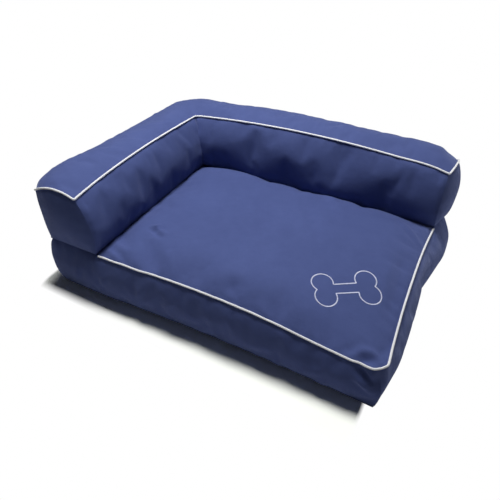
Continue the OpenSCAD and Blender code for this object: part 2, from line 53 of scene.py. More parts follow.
# %% [markdown]
# The camera stands in front and to the right, above the bed, and looks down at it. Its place
# and its lens are worked out from the seams' straight lines, so the picture has the same
# perspective.

# %% Camera
CAMERA_AT = Vector((399, -844, 802)) * MM
CAMERA_YAW = math.radians(26.63)
CAMERA_PITCH = math.radians(39.51)
CAMERA_ROLL = math.radians(0.52)
SENSOR_MM = 36
FOCAL_SHARE = 454.8 / 500


def aim_camera():
    forward = Vector((
        -math.sin(CAMERA_YAW) * math.cos(CAMERA_PITCH),
        math.cos(CAMERA_YAW) * math.cos(CAMERA_PITCH),
        -math.sin(CAMERA_PITCH),
    ))
    right = Vector((math.cos(CAMERA_YAW), math.sin(CAMERA_YAW), 0))
    up = right.cross(forward)
    right, up = (
        right * math.cos(CAMERA_ROLL) + up * math.sin(CAMERA_ROLL),
        up * math.cos(CAMERA_ROLL) - right * math.sin(CAMERA_ROLL),
    )
    turn = Matrix((right, up, -forward)).transposed().to_4x4()
    bpy.ops.object.camera_add()
    camera = bpy.context.object
    camera.name = "camera"
    camera.matrix_world = Matrix.Translation(CAMERA_AT) @ turn
    camera.data.sensor_width = SENSOR_MM
    camera.data.lens = SENSOR_MM * FOCAL_SHARE
    camera.data.clip_start, camera.data.clip_end = 0.01, 50
    scene.camera = camera


aim_camera()
print("camera: lens", round(scene.camera.data.lens, 2), "mm")

# %% [markdown]
# ## The sewing pattern
# The sizes below are those of the solids, in millimetres. Each panel of the cover is a grid
# of points, and all panels of one cushion share their borders, as sewn cloth does.

# %% Sizes of the mattress and the bolster
HALF_W, HALF_D, BASE_H = 400, 300, 137
CORNER_R = 22
EDGE_X, EDGE_Y = HALF_W - CORNER_R, HALF_D - CORNER_R
FLOOR_GAP = 0.6
SIDE_SWELL, RIGHT_SWELL, REAR_SWELL, BOTTOM_TUCK = 17, 25, 40, 3
SEAT_CROWN, CORNER_SAG, EDGE_PULL = 26, 22, 9
ARM_FOOT_X, BACK_FOOT_Y = -264, 162
EDGE_LINE = (-284, 172, 8)
FOOT_LINE = (-264, 162, 12)
SHOULDER_LINE = (-400, 300, 78)
SEAM_LINE = (-400, 300, 22)
ZIP_FROM_X, ZIP_TO_X = -216, 294
FOOT_Z = 137.4
EDGE_Z = 283
OUTER_SWELL, ARM_END_SWELL, BACK_END_SWELL = 20, 12, 22
TOP_CROWN, SHOULDER_DROP = 14, 4
ARM_BOW, BACK_BOW, BACK_BEND, END_DIP = 6, 15, 10, 4
EAR_REACH, END_PINCH = 6, 9
BASE_ZIP_Z, BACK_ZIP_Z, HALF_SLOT = 69.844, 209.541, 6
BASE_ZIP_Y, BACK_ZIP_Y = 316, 320
BASE_ZIP_X, BACK_ZIP_X = 0, 39
BASE_ZIP_L, BACK_ZIP_L = 600, 500
SLOT_PAST = 5
CLOTH_T = 1.0
PIPING_D = 4.5
CELL = 9.0
print("cells of the cloth:", CELL, "mm")


# %% Curves of the pattern
LEVEL_FROM, LEVEL_TO = 0.34, 0.64
FULL_POWER, FULL_EASE, NOISE_GAIN = 2.2, 0.85, 2.4


def clamp01(share):
    return np.clip(share, 0, 1)


def mix(a, b, share):
    return a + (b - a) * share


def ease(share):
    c = clamp01(share)
    return c * c * (3 - 2 * c)


def arch(share, power, far_power=None):
    """Rises from 0 to 1 and falls back to 0, and may fall more steeply than it rises."""
    t = 2 * clamp01(share) - 1
    steep = np.where(t > 0, far_power or power, power)
    return 1 - np.abs(t) ** steep


def hump(distance, width):
    """A soft hump: 1 in the middle, 0 far away."""
    return np.exp(-((distance / width) ** 2))


def roundness(share):
    """How far a stuffed face stands out between two seams: most in the middle."""
    return arch(share, FULL_POWER) ** FULL_EASE


def dips(table, at):
    """The sum of some humps, each with its height, its middle and its width."""
    return sum(high * hump(at - middle, wide) for high, middle, wide in table)


def swollen(share, middle):
    """Rises quickly to a level stretch, and falls quickly after it."""
    rise = middle * np.sin(math.pi / 2 * clamp01(share / LEVEL_FROM))
    fall = middle * np.sin(math.pi / 2 * clamp01((1 - share) / (1 - LEVEL_TO)))
    return np.where(share < LEVEL_FROM, rise, np.where(share > LEVEL_TO, fall, middle))


def stops(*knots):
    """Numbers from knot to knot, in even steps of about one cell."""
    found = [knots[0]]
    for a, b in zip(knots, knots[1:]):
        count = max(1, round(abs(b - a) / CELL))
        found += [a + (b - a) * i / count for i in range(1, count + 1)]
    return np.array(found, float)


def unit(vectors):
    return vectors / np.maximum(np.linalg.norm(vectors, axis=1, keepdims=True), 1e-12)


def distances(path):
    """How far along a path each of its points is."""
    return np.concatenate([[0], np.cumsum(np.linalg.norm(np.diff(path, axis=0), axis=1))])


def headings(path, closed):
    return np.roll(path, -1, 0) - np.roll(path, 1, 0) if closed else np.gradient(path, axis=0)


print("arch in the middle:", float(arch(0.5, 3)))


# %% [markdown]
# A cushion is one closed mesh while it is shaped. Its panels are told apart by a number on
# each face, so the seams are known, and each panel keeps its own grain in a UV map.

# %% Cushions from grids
def smooth_noise(seed, size, cell):
    """Soft random bumps of about one cell, the same in each run, read at any place."""
    rows, columns = (int(math.ceil(s / cell)) + 5 for s in size)
    table = np.random.default_rng(seed).uniform(-1, 1, (rows, columns))

    def weights(f):
        return (
            (1 - f) ** 3 / 6,
            (3 * f**3 - 6 * f**2 + 4) / 6,
            (-3 * f**3 + 3 * f**2 + 3 * f + 1) / 6,
            f**3 / 6,
        )

    def read(a, b):
        a, b = np.asarray(a, float) / cell, np.asarray(b, float) / cell
        i, j = np.floor(a).astype(int), np.floor(b).astype(int)
        wa, wb = weights(a - i), weights(b - j)
        total = 0
        for m in range(4):
            for n in range(4):
                total = total + wa[m] * wb[n] * table[(i + m) % rows, (j + n) % columns]
        return total * NOISE_GAIN

    return read


def grain_of(points):
    """How far along and across the cloth each point of a grid is, in metres."""
    across = np.linalg.norm(np.diff(points, axis=1), axis=2).mean(0)
    along = np.linalg.norm(np.diff(points, axis=0), axis=2).mean(1)
    u = np.concatenate([[0], np.cumsum(along)])
    v = np.concatenate([[0], np.cumsum(across)])
    return np.stack(np.meshgrid(u, v, indexing="ij"), axis=2)


def new_piece(name, points, faces, grain=None):
    """A piece with a mesh of its own and, where it is given, the cloth's grain."""
    mesh = bpy.data.meshes.new(name)
    mesh.from_pydata(points, [], faces)
    mesh.update()
    if grain is not None:
        layer = mesh.uv_layers.new(name="Grain")
        layer.data.foreach_set("uv", np.asarray(grain, np.float32).ravel())
    piece = bpy.data.objects.new(name, mesh)
    scene.collection.objects.link(piece)
    return piece


def choose(piece):
    bpy.context.view_layer.objects.active = piece
    piece.select_set(True)


def smoothed(piece, degrees, outward=False):
    """Shades a piece smooth up to an angle, with its faces turned outward where asked."""
    choose(piece)
    if outward:
        bpy.ops.object.mode_set(mode="EDIT")
        bpy.ops.mesh.select_all(action="SELECT")
        bpy.ops.mesh.normals_make_consistent(inside=False)
        bpy.ops.object.mode_set(mode="OBJECT")
    bpy.ops.object.shade_smooth_by_angle(angle=math.radians(degrees))
    piece.select_set(False)
    return piece


def cushion_mesh(name, patches):
    """A closed mesh from patches: (panel number, grid of points in mm, flipped)."""
    points, faces, panels, grains = [], [], [], []
    for number, grid, flipped in patches:
        grid = np.asarray(grid, float) * MM
        rows, columns, _ = grid.shape
        grain = grain_of(grid).reshape(-1, 2)
        at = len(points)
        points += grid.reshape(-1, 3).tolist()
        for r in range(rows - 1):
            for c in range(columns - 1):
                a = r * columns + c
                quad = [a, a + 1, a + columns + 1, a + columns]
                if flipped:
                    quad.reverse()
                faces.append([at + q for q in quad])
                panels.append(number)
                grains += [grain[q] for q in quad]
    piece = new_piece(name, points, faces, grains)
    mesh = piece.data
    for _ in range(max(panels) + 1):
        mesh.materials.append(None)
    mesh.polygons.foreach_set("material_index", np.array(panels, np.int32))
    bm = bmesh.new()
    bm.from_mesh(mesh)
    bmesh.ops.remove_doubles(bm, verts=bm.verts, dist=2e-5)
    bm.to_mesh(mesh)
    bm.free()
    return piece


# %% [markdown]
# The mattress is a box with round corners, drawn in along its open edges. Its top is crowned
# over the seat by wadding, and level where the bolster stands on it.

# %% The mattress's shape
LEFT_POINT, RIGHT_POINT, LEFT_FLAT, RIGHT_FLAT, CORNER_FLAT_MM = 0.9, 0.85, 0.35, 0.7, 90
CORNER_CUT, CUT_REACH, POINT_REACH, SWELL_REACH = 0.85, 0.5, 0.6, 0.6
SAG_FROM, SAG_LENGTH = 0.15, 0.7
SEAM_DIPS = [(3, -150, 45), (2, -235, 40), (2, 90, 60)]
NOISE_X, NOISE_Y = HALF_W + 50, HALF_D + 50
CROWN_ACROSS, CROWN_AT_ARM, CROWN_AT_FRONT, CROWN_AT_BACK = (5.5, 3), 3.5, 6, 12
SCALLOPS, SCALLOP_FROM, SCALLOP_AT, SCALLOP_WIDTH = 0.028, 0.05, 0.1, 0.12
SCALLOP_STRETCH, SOFT_MM, FINE_MM = 0.4, 3.2, 1.2
STEEP_FROM_X, STEEP_LENGTH, ARM_RISE_TO_Y = -260, 120, 100
CALM_FROM_Y, CALM_SHARE, FADE_MM = 60, 0.8, 60
REAR_RISE, REAR_RISE_Y, REAR_RISE_WIDTH = 0.36, 128, 50
ARM_RISE, ARM_RISE_X, ARM_RISE_WIDTH = 0.16, -225, 45


def past_edge(x, y):
    return np.maximum(np.abs(x) - EDGE_X, 0), np.maximum(np.abs(y) - EDGE_Y, 0)


def seat_shares(x, y):
    return (
        (x - ARM_FOOT_X) / (HALF_W - ARM_FOOT_X),
        (y + HALF_D) / (BACK_FOOT_Y + HALF_D),
    )


def plan(x, y, inset=0.0, share=0.0):
    """Where a point of the square pattern comes to lie: corners rounded, edges drawn in."""
    past_x, past_y = (past * (CORNER_R - inset) / CORNER_R for past in past_edge(x, y))
    both = (past_x > 0) & (past_y > 0)
    reach = np.hypot(past_x, past_y)
    k = np.where(both, np.maximum(past_x, past_y) / np.where(both, reach, 1), 1)
    k = mix(k, 1, np.where(x < 0, LEFT_POINT, RIGHT_POINT * ease(share / POINT_REACH)))
    straight = np.maximum(past_x, past_y) / np.where(both, past_x + past_y, 1)
    open_corner = np.where(both & (x > 0) & (y < 0), CORNER_CUT * (1 - ease(share / CUT_REACH)), 0)
    k = mix(k, straight, open_corner)
    px = np.sign(x) * (np.minimum(np.abs(x), EDGE_X) + past_x * k)
    py = np.sign(y) * (np.minimum(np.abs(y), EDGE_Y) + past_y * k)
    along_x, along_y = seat_shares(px, py)
    return (
        px - EDGE_PULL * clamp01(px / HALF_W) * arch(along_y, 2, 3),
        py + EDGE_PULL * clamp01(-py / HALF_D) * arch(along_x, 2),
    )


def sag(x, y):
    """The seam drops at the open corner, and dips a little near the arm's foot."""
    forward = ease((-y / HALF_D - SAG_FROM) / SAG_LENGTH)
    corner = CORNER_SAG * ease((x / HALF_W - SAG_FROM) / SAG_LENGTH)
    return (corner + dips(SEAM_DIPS, x)) * forward


seat_noise = smooth_noise(11, (2 * NOISE_X, 2 * NOISE_Y), 120)
seat_fine_noise = smooth_noise(12, (2 * NOISE_X, 2 * NOISE_Y), 52)


def crown(x, y):
    """The wadding's rise: steep at its borders, scalloped in front, fuller near the bolster."""
    along_x, along_y = seat_shares(x, y)
    scallops = seat_fine_noise(x + NOISE_X, SCALLOP_STRETCH * (y + NOISE_Y))
    scallops = scallops * ease(along_y / SCALLOP_FROM)
    along_y = along_y + SCALLOPS * scallops * hump(along_y - SCALLOP_AT, SCALLOP_WIDTH)
    steep = mix(CROWN_AT_ARM, CROWN_AT_FRONT, ease((x - STEEP_FROM_X) / STEEP_LENGTH))
    over = arch(along_x, *CROWN_ACROSS) * arch(along_y, steep, CROWN_AT_BACK)
    rear = REAR_RISE * hump(y - REAR_RISE_Y, REAR_RISE_WIDTH)
    arm = ARM_RISE * hump(x - ARM_RISE_X, ARM_RISE_WIDTH)
    arm = arm * ease((ARM_RISE_TO_Y - y) / FADE_MM)
    soft = (seat_noise(x + NOISE_X, y + NOISE_Y) * SOFT_MM
            + seat_fine_noise(x + NOISE_X, y + NOISE_Y) * FINE_MM)
    calm = 1 - CALM_SHARE * ease((y - CALM_FROM_Y) / FADE_MM)
    return over * (1 + rear + arm) * (SEAT_CROWN + soft * calm)


def top_height(x, y):
    return BASE_H - sag(x, y) + crown(x, y)


def side_point(x, y, share, inset=0.0, down=0.0, lift=0.0):
    """A point of the mattress's sides, by its share of the way down."""
    px, py = plan(x, y, inset, share)
    past_x, past_y = past_edge(x, y)
    reach = np.hypot(past_x, past_y)
    out_x, out_y = np.sign(x) * past_x / reach, np.sign(y) * past_y / reach
    from_corner = np.maximum(HALF_W - np.abs(x), HALF_D - np.abs(y))
    flat = mix(LEFT_FLAT, RIGHT_FLAT, ease(x / HALF_W + 0.5))
    full = 1 - flat * (1 - ease(from_corner / CORNER_FLAT_MM))
    swell = SIDE_SWELL * full * roundness(share) - BOTTOM_TUCK * clamp01(share) ** 3
    right = full * np.where(x < 0, 0, past_x / CORNER_R) * (
        (RIGHT_SWELL - SIDE_SWELL) * ease((y / HALF_D + 1) / SWELL_REACH)
        + (REAR_SWELL - RIGHT_SWELL) * ease(y / HALF_D / SWELL_REACH)
    )
    top_z = BASE_H - sag(x, y)
    return np.stack([
        px + out_x * swell + right * roundness(share),
        py + out_y * swell,
        mix(top_z - down, FLOOR_GAP + lift, share) + 0 * px,
    ], axis=-1)


CORNER_STOPS = [CORNER_R * s for s in (1, 0.75, 0.5, 0.25)]
BASE_SLOT_X = BASE_ZIP_L / 2 + SLOT_PAST
across_lines = np.concatenate([
    [-EDGE_X - s for s in CORNER_STOPS],
    stops(-EDGE_X, -BASE_SLOT_X, ARM_FOOT_X, BASE_SLOT_X, EDGE_X),
    [EDGE_X + s for s in reversed(CORNER_STOPS)],
])
along_lines = np.concatenate([
    [-EDGE_Y - s for s in CORNER_STOPS],
    stops(-EDGE_Y, BACK_FOOT_Y, EDGE_Y),
    [EDGE_Y + s for s in reversed(CORNER_STOPS)],
])
base_grid = np.meshgrid(across_lines, along_lines, indexing="ij")
SIDE_H = BASE_H - FLOOR_GAP
SLOT_TOP = (BASE_H - BASE_ZIP_Z - HALF_SLOT) / SIDE_H
SLOT_LOW = (BASE_H - BASE_ZIP_Z + HALF_SLOT) / SIDE_H
side_shares = np.concatenate([np.linspace(0, SLOT_TOP, 7), np.linspace(SLOT_LOW, 1, 7)])

SEAT, BOXING, BACK_UPPER, BACK_LOWER, BOTTOM, BASE_SLOT = range(6)


def edges_in_order():
    """Places of the pattern along its left, front, right and back edges."""
    return (
        [(-HALF_W, y) for y in along_lines[::-1]],
        [(x, -HALF_D) for x in across_lines[1:]],
        [(HALF_W, y) for y in along_lines[1:]],
        [(x, HALF_D) for x in across_lines[::-1][1:]],
    )


def mattress_patches():
    top = np.stack([*plan(*base_grid), top_height(*base_grid)], axis=2)
    bottom = underside_point(*base_grid)
    left, front, right, back = edges_in_order()
    slot = [i for i, p in enumerate(back) if abs(p[0]) < BASE_SLOT_X + 0.01]
    first, last = slot[0], slot[-1]
    run = back[last:] + left[1:] + front + right + back[: first + 1]
    strip = back[first : last + 1]

    def wall(line, rows):
        x, y = (np.array([p[n] for p in line])[:, None] for n in (0, 1))
        return side_point(x, y, np.asarray(side_shares)[rows][None, :])

    return [
        (SEAT, top, True),
        (BOTTOM, bottom, False),
        (BOXING, wall(run, slice(0, 14)), False),
        (BACK_UPPER, wall(strip, slice(0, 7)), False),
        (BASE_SLOT, wall(strip, slice(6, 8)), False),
        (BACK_LOWER, wall(strip, slice(7, 14)), False),
    ]


def underside_point(x, y):
    """The underside ends at the tucked bottom seam and is flat."""
    px, py = plan(x, y, 0.0, 1.0)
    past_x, past_y = past_edge(x, y)
    reach = np.maximum(np.hypot(past_x, past_y), 1e-9)
    tuck = BOTTOM_TUCK * np.maximum(past_x, past_y) / CORNER_R
    return np.stack([
        px - np.sign(x) * past_x / reach * tuck,
        py - np.sign(y) * past_y / reach * tuck,
        np.full_like(px, FLOOR_GAP),
    ], axis=2)


mattress = cushion_mesh("mattress", mattress_patches())
print("mattress:", len(mattress.data.vertices), "points")

# %% [markdown]
# The bolster follows four lines: its foot on the seat, its piped edge, its outer shoulder and
# its outer seam. Each is straight along the arm, turns round the elbow and runs along the back.


# %% The bolster's shape
ARM_CELLS, ELBOW_END, ZIP_FIRST, ZIP_LAST, LAST_SPOT, MITRE = 6, 10, 11, 17, 18, 8
PUFF_SPOT, PUFF_WIDTH, PUFF_OUT, PUFF_UP = 0.9, 1.4, 12, 6
ARM_BELLY, BACK_BELLY, V_BACK, EAR_DROP, EAR_SPOTS, SEAM_BOW = 19, 22, 5, 17, 0.42, 7
BELLY_NOISE, BELLY_WAVE, BELLY_AT_ENDS = (0.08, 0.2), (0.03, 0.08), 0.75
FULL_AT_ENDS, FULL_FROM, ARM_BEND, PUFF_FROM = 0.25, 0.9, 0.4, 0.3
EDGE_RISES = [(4, LAST_SPOT - 0.5, 0.5)]
SHOULDER_DIPS = [(7, MITRE, 1.6), (2, 4, 2), (3, 14.8, 1.6)]
# The spots along the bolster: from, to, and the cells between.
SPOT_CELLS = [(0, 5, 40), (5, 6, 12), (6, 10, 12), (10, 11, 9), (11, 17, 54), (17, 18, 11)]


def elbow_turn(k):
    return math.pi / 2 * clamp01((k - ARM_CELLS) / (ELBOW_END - ARM_CELLS))


def along_line(line, k):
    """The plan of one line at spot k, which need not be whole."""
    at_x, at_y, r = line
    arm_y = mix(-HALF_D, FOOT_LINE[1] - FOOT_LINE[2], k / ARM_CELLS)
    last_arm_y = mix(-HALF_D, FOOT_LINE[1] - FOOT_LINE[2], 5 / ARM_CELLS)
    before_elbow = mix(last_arm_y, at_y - r, k - 5)
    t = elbow_turn(k)
    after_elbow = mix(at_x + r, ZIP_FROM_X, k - ELBOW_END)
    zip_x = mix(ZIP_FROM_X, ZIP_TO_X, (k - ZIP_FIRST) / (ZIP_LAST - ZIP_FIRST))
    end_x = mix(ZIP_TO_X, HALF_W, k - ZIP_LAST)
    x = np.select(
        [k < 6, k <= ELBOW_END, k <= ZIP_FIRST, k <= ZIP_LAST],
        [at_x, at_x + r - r * np.cos(t), after_elbow, zip_x], end_x)
    y = np.select(
        [k < 5, k < 6, k <= ELBOW_END], [arm_y, before_elbow, at_y - r + r * np.sin(t)], at_y)
    return np.stack([x, y + 0 * k], axis=-1)


def seat_side(k):
    t = elbow_turn(k)
    return np.stack([np.cos(t), -np.sin(t)], axis=-1)


def arm_share(k):
    return clamp01(k / ARM_CELLS)


def back_share(k):
    x = along_line(EDGE_LINE, k)[..., 0]
    return np.where(k <= ELBOW_END, 0, clamp01((x - EDGE_LINE[0]) / (HALF_W - EDGE_LINE[0])))


def edge_z(k):
    a, b = arm_share(k), back_share(k)
    return (EDGE_Z + ARM_BOW * arch(a, 2) + BACK_BOW * arch(b, 2)
            - END_DIP * ((1 - a) ** 6 + b**6) + dips(EDGE_RISES, k))


def at_back_end(k):
    """1 at the back's end face, 0 a hand's width before it."""
    return ease(1 - (LAST_SPOT - k) / EAR_SPOTS)


def edge_spot(k):
    bend = BACK_BEND * (ARM_BEND * arch(arm_share(k), 2) + arch(back_share(k), 2))
    spot = along_line(EDGE_LINE, k) - seat_side(k) * bend[..., None]
    return spot - at_back_end(k)[..., None] * np.array([V_BACK, 0])


def joined(xy, z):
    return np.concatenate([xy, z[..., None]], axis=-1)


inner_noise = smooth_noise(31, (30, 12), 0.9)


def belly(k, share):
    """The inner face leans back above its belly and tucks under below it."""
    on_back = ease(k - MITRE)
    fullness = 1 + mix(*BELLY_NOISE, on_back) * inner_noise(k + 2, share * 2 + 2)
    wave = mix(*BELLY_WAVE, on_back) * inner_noise(1.7 * k + 40, share + 7)
    ends = mix(BELLY_AT_ENDS, 1, arch(k / LAST_SPOT, 8))
    height = share + wave * np.sin(math.pi * share)
    depth = mix(ARM_BELLY, BACK_BELLY, on_back)
    return depth * arch(height, 2) ** FULL_EASE * fullness * ends


def inner_point(k, share):
    xy = mix(edge_spot(k), along_line(FOOT_LINE, k), share[..., None])
    xy = xy + seat_side(k) * belly(k, share)[..., None]
    return joined(xy, mix(edge_z(k), FOOT_Z, share))


def fullness_at(k):
    return mix(FULL_AT_ENDS, 1, ease(np.minimum(k, LAST_SPOT - k) / FULL_FROM))


def outer_point(k, share):
    xy = mix(along_line(SHOULDER_LINE, k), along_line(SEAM_LINE, k), share[..., None])
    puff = hump(k - PUFF_SPOT, PUFF_WIDTH) * (1 - share) * ease(k / PUFF_FROM)
    out = swollen(share, OUTER_SWELL * fullness_at(k)) + PUFF_OUT * puff
    xy = xy - seat_side(k) * out[..., None]
    low = dips(SHOULDER_DIPS, k) + EAR_DROP * at_back_end(k)
    z = mix(edge_z(k) - SHOULDER_DROP + PUFF_UP * puff - low, FOOT_Z, share)
    point = joined(xy, z)
    near_arm_end = clamp01(1 - k)[..., None] ** 2 * (1 - share)[..., None]
    near_back_end = clamp01(1 - (LAST_SPOT - k))[..., None] ** 2 * (1 - share)[..., None]
    return (point + near_arm_end * np.array([END_PINCH, -EAR_REACH, 0])
            + near_back_end * np.array([0, -END_PINCH, 0]))


def over_point(k, share):
    zero = np.zeros_like(share)
    rise = TOP_CROWN * arch(share, 2.1)
    bow = SEAM_BOW * at_back_end(k) * arch(share, 2)
    flat = mix(inner_point(k, zero), outer_point(k, zero), share[..., None])
    return flat + np.stack([bow, 0 * bow, rise], axis=-1)


def under_point(k, share):
    one = np.ones_like(share)
    return mix(inner_point(k, one), outer_point(k, one), share[..., None])


def across_point(k, u, v, way, swell, low_power=2):
    """The end face between the borders of the four long faces."""
    zero, one = np.zeros_like(u), np.ones_like(u)
    low_v = mix(over_point(k, u), under_point(k, u), v[..., None])
    low_u = mix(inner_point(k, v), outer_point(k, v), u[..., None])
    corners = mix(
        mix(over_point(k, zero), over_point(k, one), u[..., None]),
        mix(under_point(k, zero), under_point(k, one), u[..., None]), v[..., None])
    out = swell * arch(u, 2) * arch(v, 2, low_power)
    return low_v + low_u - corners + out[..., None] * np.array(way)


ARM_END_WAY, BACK_END_WAY = (0, -1, 0), (1, 0, 0)
spots = np.concatenate([np.linspace(a, b, n, endpoint=False) for a, b, n in SPOT_CELLS]
                       + [[LAST_SPOT]])
face_shares = np.linspace(0, 1, 17)
over_shares = np.linspace(0, 1, 14)
slot_top_rows = np.linspace(0, 1, 9)
slot_low_rows = np.linspace(0, 1, 8)
OUTER_ROWS = len(slot_top_rows) + len(slot_low_rows)

(TOP, ARM_INNER, BACK_INNER, ARM_OUTER, OUTER_UPPER, OUTER_LOWER, OUTER_SIDE,
 ARM_END, BACK_END, UNDER, BACK_SLOT) = range(11)


def outer_shares(k):
    """Rows of the outer face, two of which are the level edges of the zip's slot."""
    top = edge_z(k) - SHOULDER_DROP
    up = (top - BACK_ZIP_Z - HALF_SLOT) / (top - FOOT_Z)
    low = (top - BACK_ZIP_Z + HALF_SLOT) / (top - FOOT_Z)
    upper = up[:, None] * slot_top_rows[None, :]
    lower = mix(low[:, None], 1, slot_low_rows[None, :])
    return np.concatenate([upper, lower], axis=1)


def bolster_patches():
    def long_face(kind, shares, first, last):
        k = spots[first : last + 1]
        grid_k, grid_s = np.meshgrid(k, shares, indexing="ij")
        return kind(grid_k, grid_s)

    def outer(first, last, rows):
        k = spots[first : last + 1]
        shares = outer_shares(k)[:, rows]
        return outer_point(np.repeat(k[:, None], shares.shape[1], 1), shares)

    def at(spot):
        return int(np.argmin(np.abs(spots - spot)))

    def end_face(spot, way, swell, low_power=2):
        k = np.array([float(spot)])
        shares_out = outer_shares(k)[0]
        u = over_shares[None, :]
        # The end face's rows meet the inner face's rows on one side and the outer face's on
        # the other, so the two are blended across it.
        v = mix(face_shares[:, None], shares_out[:, None], u)
        u = np.repeat(u, len(v), 0)
        return across_point(np.full_like(u, k[0]), u, v, way, swell, low_power)

    last = len(spots) - 1
    zip_a, zip_b, mitre = at(ZIP_FIRST), at(ZIP_LAST), at(MITRE)
    every = slice(0, OUTER_ROWS)
    return [
        (TOP, long_face(over_point, over_shares, 0, last), True),
        (UNDER, long_face(under_point, over_shares, 0, last), False),
        (ARM_INNER, long_face(inner_point, face_shares, 0, mitre), False),
        (BACK_INNER, long_face(inner_point, face_shares, mitre, last), False),
        (ARM_OUTER, outer(0, zip_a, every), True),
        (OUTER_UPPER, outer(zip_a, zip_b, slice(0, 9)), True),
        (BACK_SLOT, outer(zip_a, zip_b, slice(8, 10)), True),
        (OUTER_LOWER, outer(zip_a, zip_b, slice(9, OUTER_ROWS)), True),
        (OUTER_SIDE, outer(zip_b, last, every), True),
        (ARM_END, end_face(0, ARM_END_WAY, ARM_END_SWELL), False),
        (BACK_END, end_face(LAST_SPOT, BACK_END_WAY, BACK_END_SWELL, 6), True),
    ]


bolster = cushion_mesh("bolster", bolster_patches())
print("bolster:", len(bolster.data.vertices), "points")

# %% [markdown]
# Real covers are a little larger than what fills them, and the seams hold them back. So the
# cloth is simulated: it is slack by about one part in a hundred, air pushes from inside, the
# seams and the parts that something rests on are held, and no point may move far.


# %% Cloth simulation
CLOTH_SETTINGS = {
    "quality": 5, "mass": 0.2, "tension_stiffness": 20, "compression_stiffness": 20,
    "shear_stiffness": 8, "bending_stiffness": 1.2, "air_damping": 3, "use_pressure": True,
    "uniform_pressure_force": 2.0, "shrink_min": -0.012, "vertex_group_mass": "held",
}
MOST_MOVE, CLOTH_FRAMES = 0.008, 20


def coords(mesh):
    flat = np.empty(len(mesh.vertices) * 3)
    mesh.vertices.foreach_get("co", flat)
    return flat.reshape(-1, 3)


def set_coords(mesh, points):
    mesh.vertices.foreach_set("co", points.ravel())
    mesh.update()


def quads_of(mesh):
    """The corners of all faces, which have four each, their panels and their grain."""
    corners = np.empty(len(mesh.loops), int)
    mesh.loops.foreach_get("vertex_index", corners)
    panels = np.empty(len(mesh.polygons), int)
    mesh.polygons.foreach_get("material_index", panels)
    grain = np.empty(len(mesh.loops) * 2)
    mesh.uv_layers["Grain"].data.foreach_get("uv", grain)
    return corners.reshape(-1, 4), panels, grain.reshape(-1, 4, 2)


def seam_points(mesh):
    """For each point, how many panels meet there."""
    quads, panels, _ = quads_of(mesh)
    met = np.zeros((len(mesh.vertices), panels.max() + 1), bool)
    for n in range(4):
        met[quads[:, n], panels] = True
    return met


def run_cloth(piece, held):
    rest = coords(piece.data)
    group = piece.vertex_groups.new(name="held")
    for weight in np.unique(np.round(held, 3)):
        if weight > 0:
            found = np.flatnonzero(np.abs(held - weight) < 6e-4)
            group.add(found.tolist(), float(weight), "REPLACE")
    cloth = piece.modifiers.new("Cloth", "CLOTH")
    for setting, value in CLOTH_SETTINGS.items():
        setattr(cloth.settings, setting, value)
    cloth.settings.effector_weights.gravity = 0
    cloth.collision_settings.use_collision = False
    cloth.point_cache.frame_start = 1
    cloth.point_cache.frame_end = CLOTH_FRAMES
    for number in range(1, CLOTH_FRAMES + 1):
        scene.frame_set(number)
    choose(piece)
    bpy.ops.object.modifier_apply(modifier="Cloth")
    piece.select_set(False)
    scene.frame_set(1)
    moved = coords(piece.data) - rest
    length = np.linalg.norm(moved, axis=1)
    share = MOST_MOVE * np.tanh(length / MOST_MOVE) / np.maximum(length, 1e-9)
    set_coords(piece.data, rest + moved * share[:, None])
    print(piece.name, "cloth moved up to", round(length.max() * 1000, 1), "mm, mean",
          round(length.mean() * 1000, 2), "mm, kept", round((length * share).max() * 1000, 1))


met = seam_points(mattress.data)
place = coords(mattress.data) / MM
held = np.where(met.sum(1) > 1, 1.0, 0.0)
held[met[:, BOTTOM] | met[:, BASE_SLOT]] = 1
under = met[:, SEAT] & ((place[:, 0] < ARM_FOOT_X - 6) | (place[:, 1] > BACK_FOOT_Y + 6))
held[under] = 1
run_cloth(mattress, held)

met = seam_points(bolster.data)
held = np.where(met.sum(1) > 1, 1.0, 0.0)
held[met[:, UNDER] | met[:, BACK_SLOT]] = 1
run_cloth(bolster, held)

# %% [markdown]
# After the simulation each cushion is made finer. The seams keep their crease, so the cloth
# is round between the seams and sharp on them. Then come the small forms that a needle
# leaves: the cloth dips into each seam and gathers beside it. Last come the larger folds.


# %% Finer cloth
def crease_seams(mesh):
    bm = bmesh.new()
    bm.from_mesh(mesh)
    crease = bm.edges.layers.float.new("crease_edge")
    for edge in bm.edges:
        a, b = edge.link_faces
        edge[crease] = 1.0 if a.material_index != b.material_index else 0.0
    bm.to_mesh(mesh)
    bm.free()


def refine(piece, levels):
    crease_seams(piece.data)
    bpy.context.view_layer.objects.active = piece
    finer = piece.modifiers.new("Finer", "SUBSURF")
    finer.levels = finer.render_levels = levels
    bpy.ops.object.modifier_apply(modifier="Finer")


refine(mattress, 1)
refine(bolster, 1)
print("finer:", len(mattress.data.vertices), "and", len(bolster.data.vertices), "points")


# %% Dips, gathers and folds
GATHER_MM, GATHER_REACH_MM, DIP_MM, DIP_WIDTH_MM = 1.6, 17, 1.5, 5.5
SMALL_GATHER, LARGE_GATHER, LARGE_SHARE, FLAT_MM, HELD_SHARE = 13, 27, 0.6, 4, 0.3
HIGH_GATHERS, MORE_LOW, LOW_Z = 0.8, 0.4, 100
BOLSTER_GATHERS, PUCKERS, PUCKER_Z, PUCKER_WIDTH, PUCKER_X = 0.9, 0.9, 285, 25, -340
CALMER, CALM_Y, CALM_Y_FADE, CALM_Z, CALM_Z_FADE = 0.5, 240, 40, 240, 30
FOLD_STOPS, FOLD_SMOOTHING, TROUGH_SHARE, TROUGH_AWAY = 30, 6, 0.6, 1.5
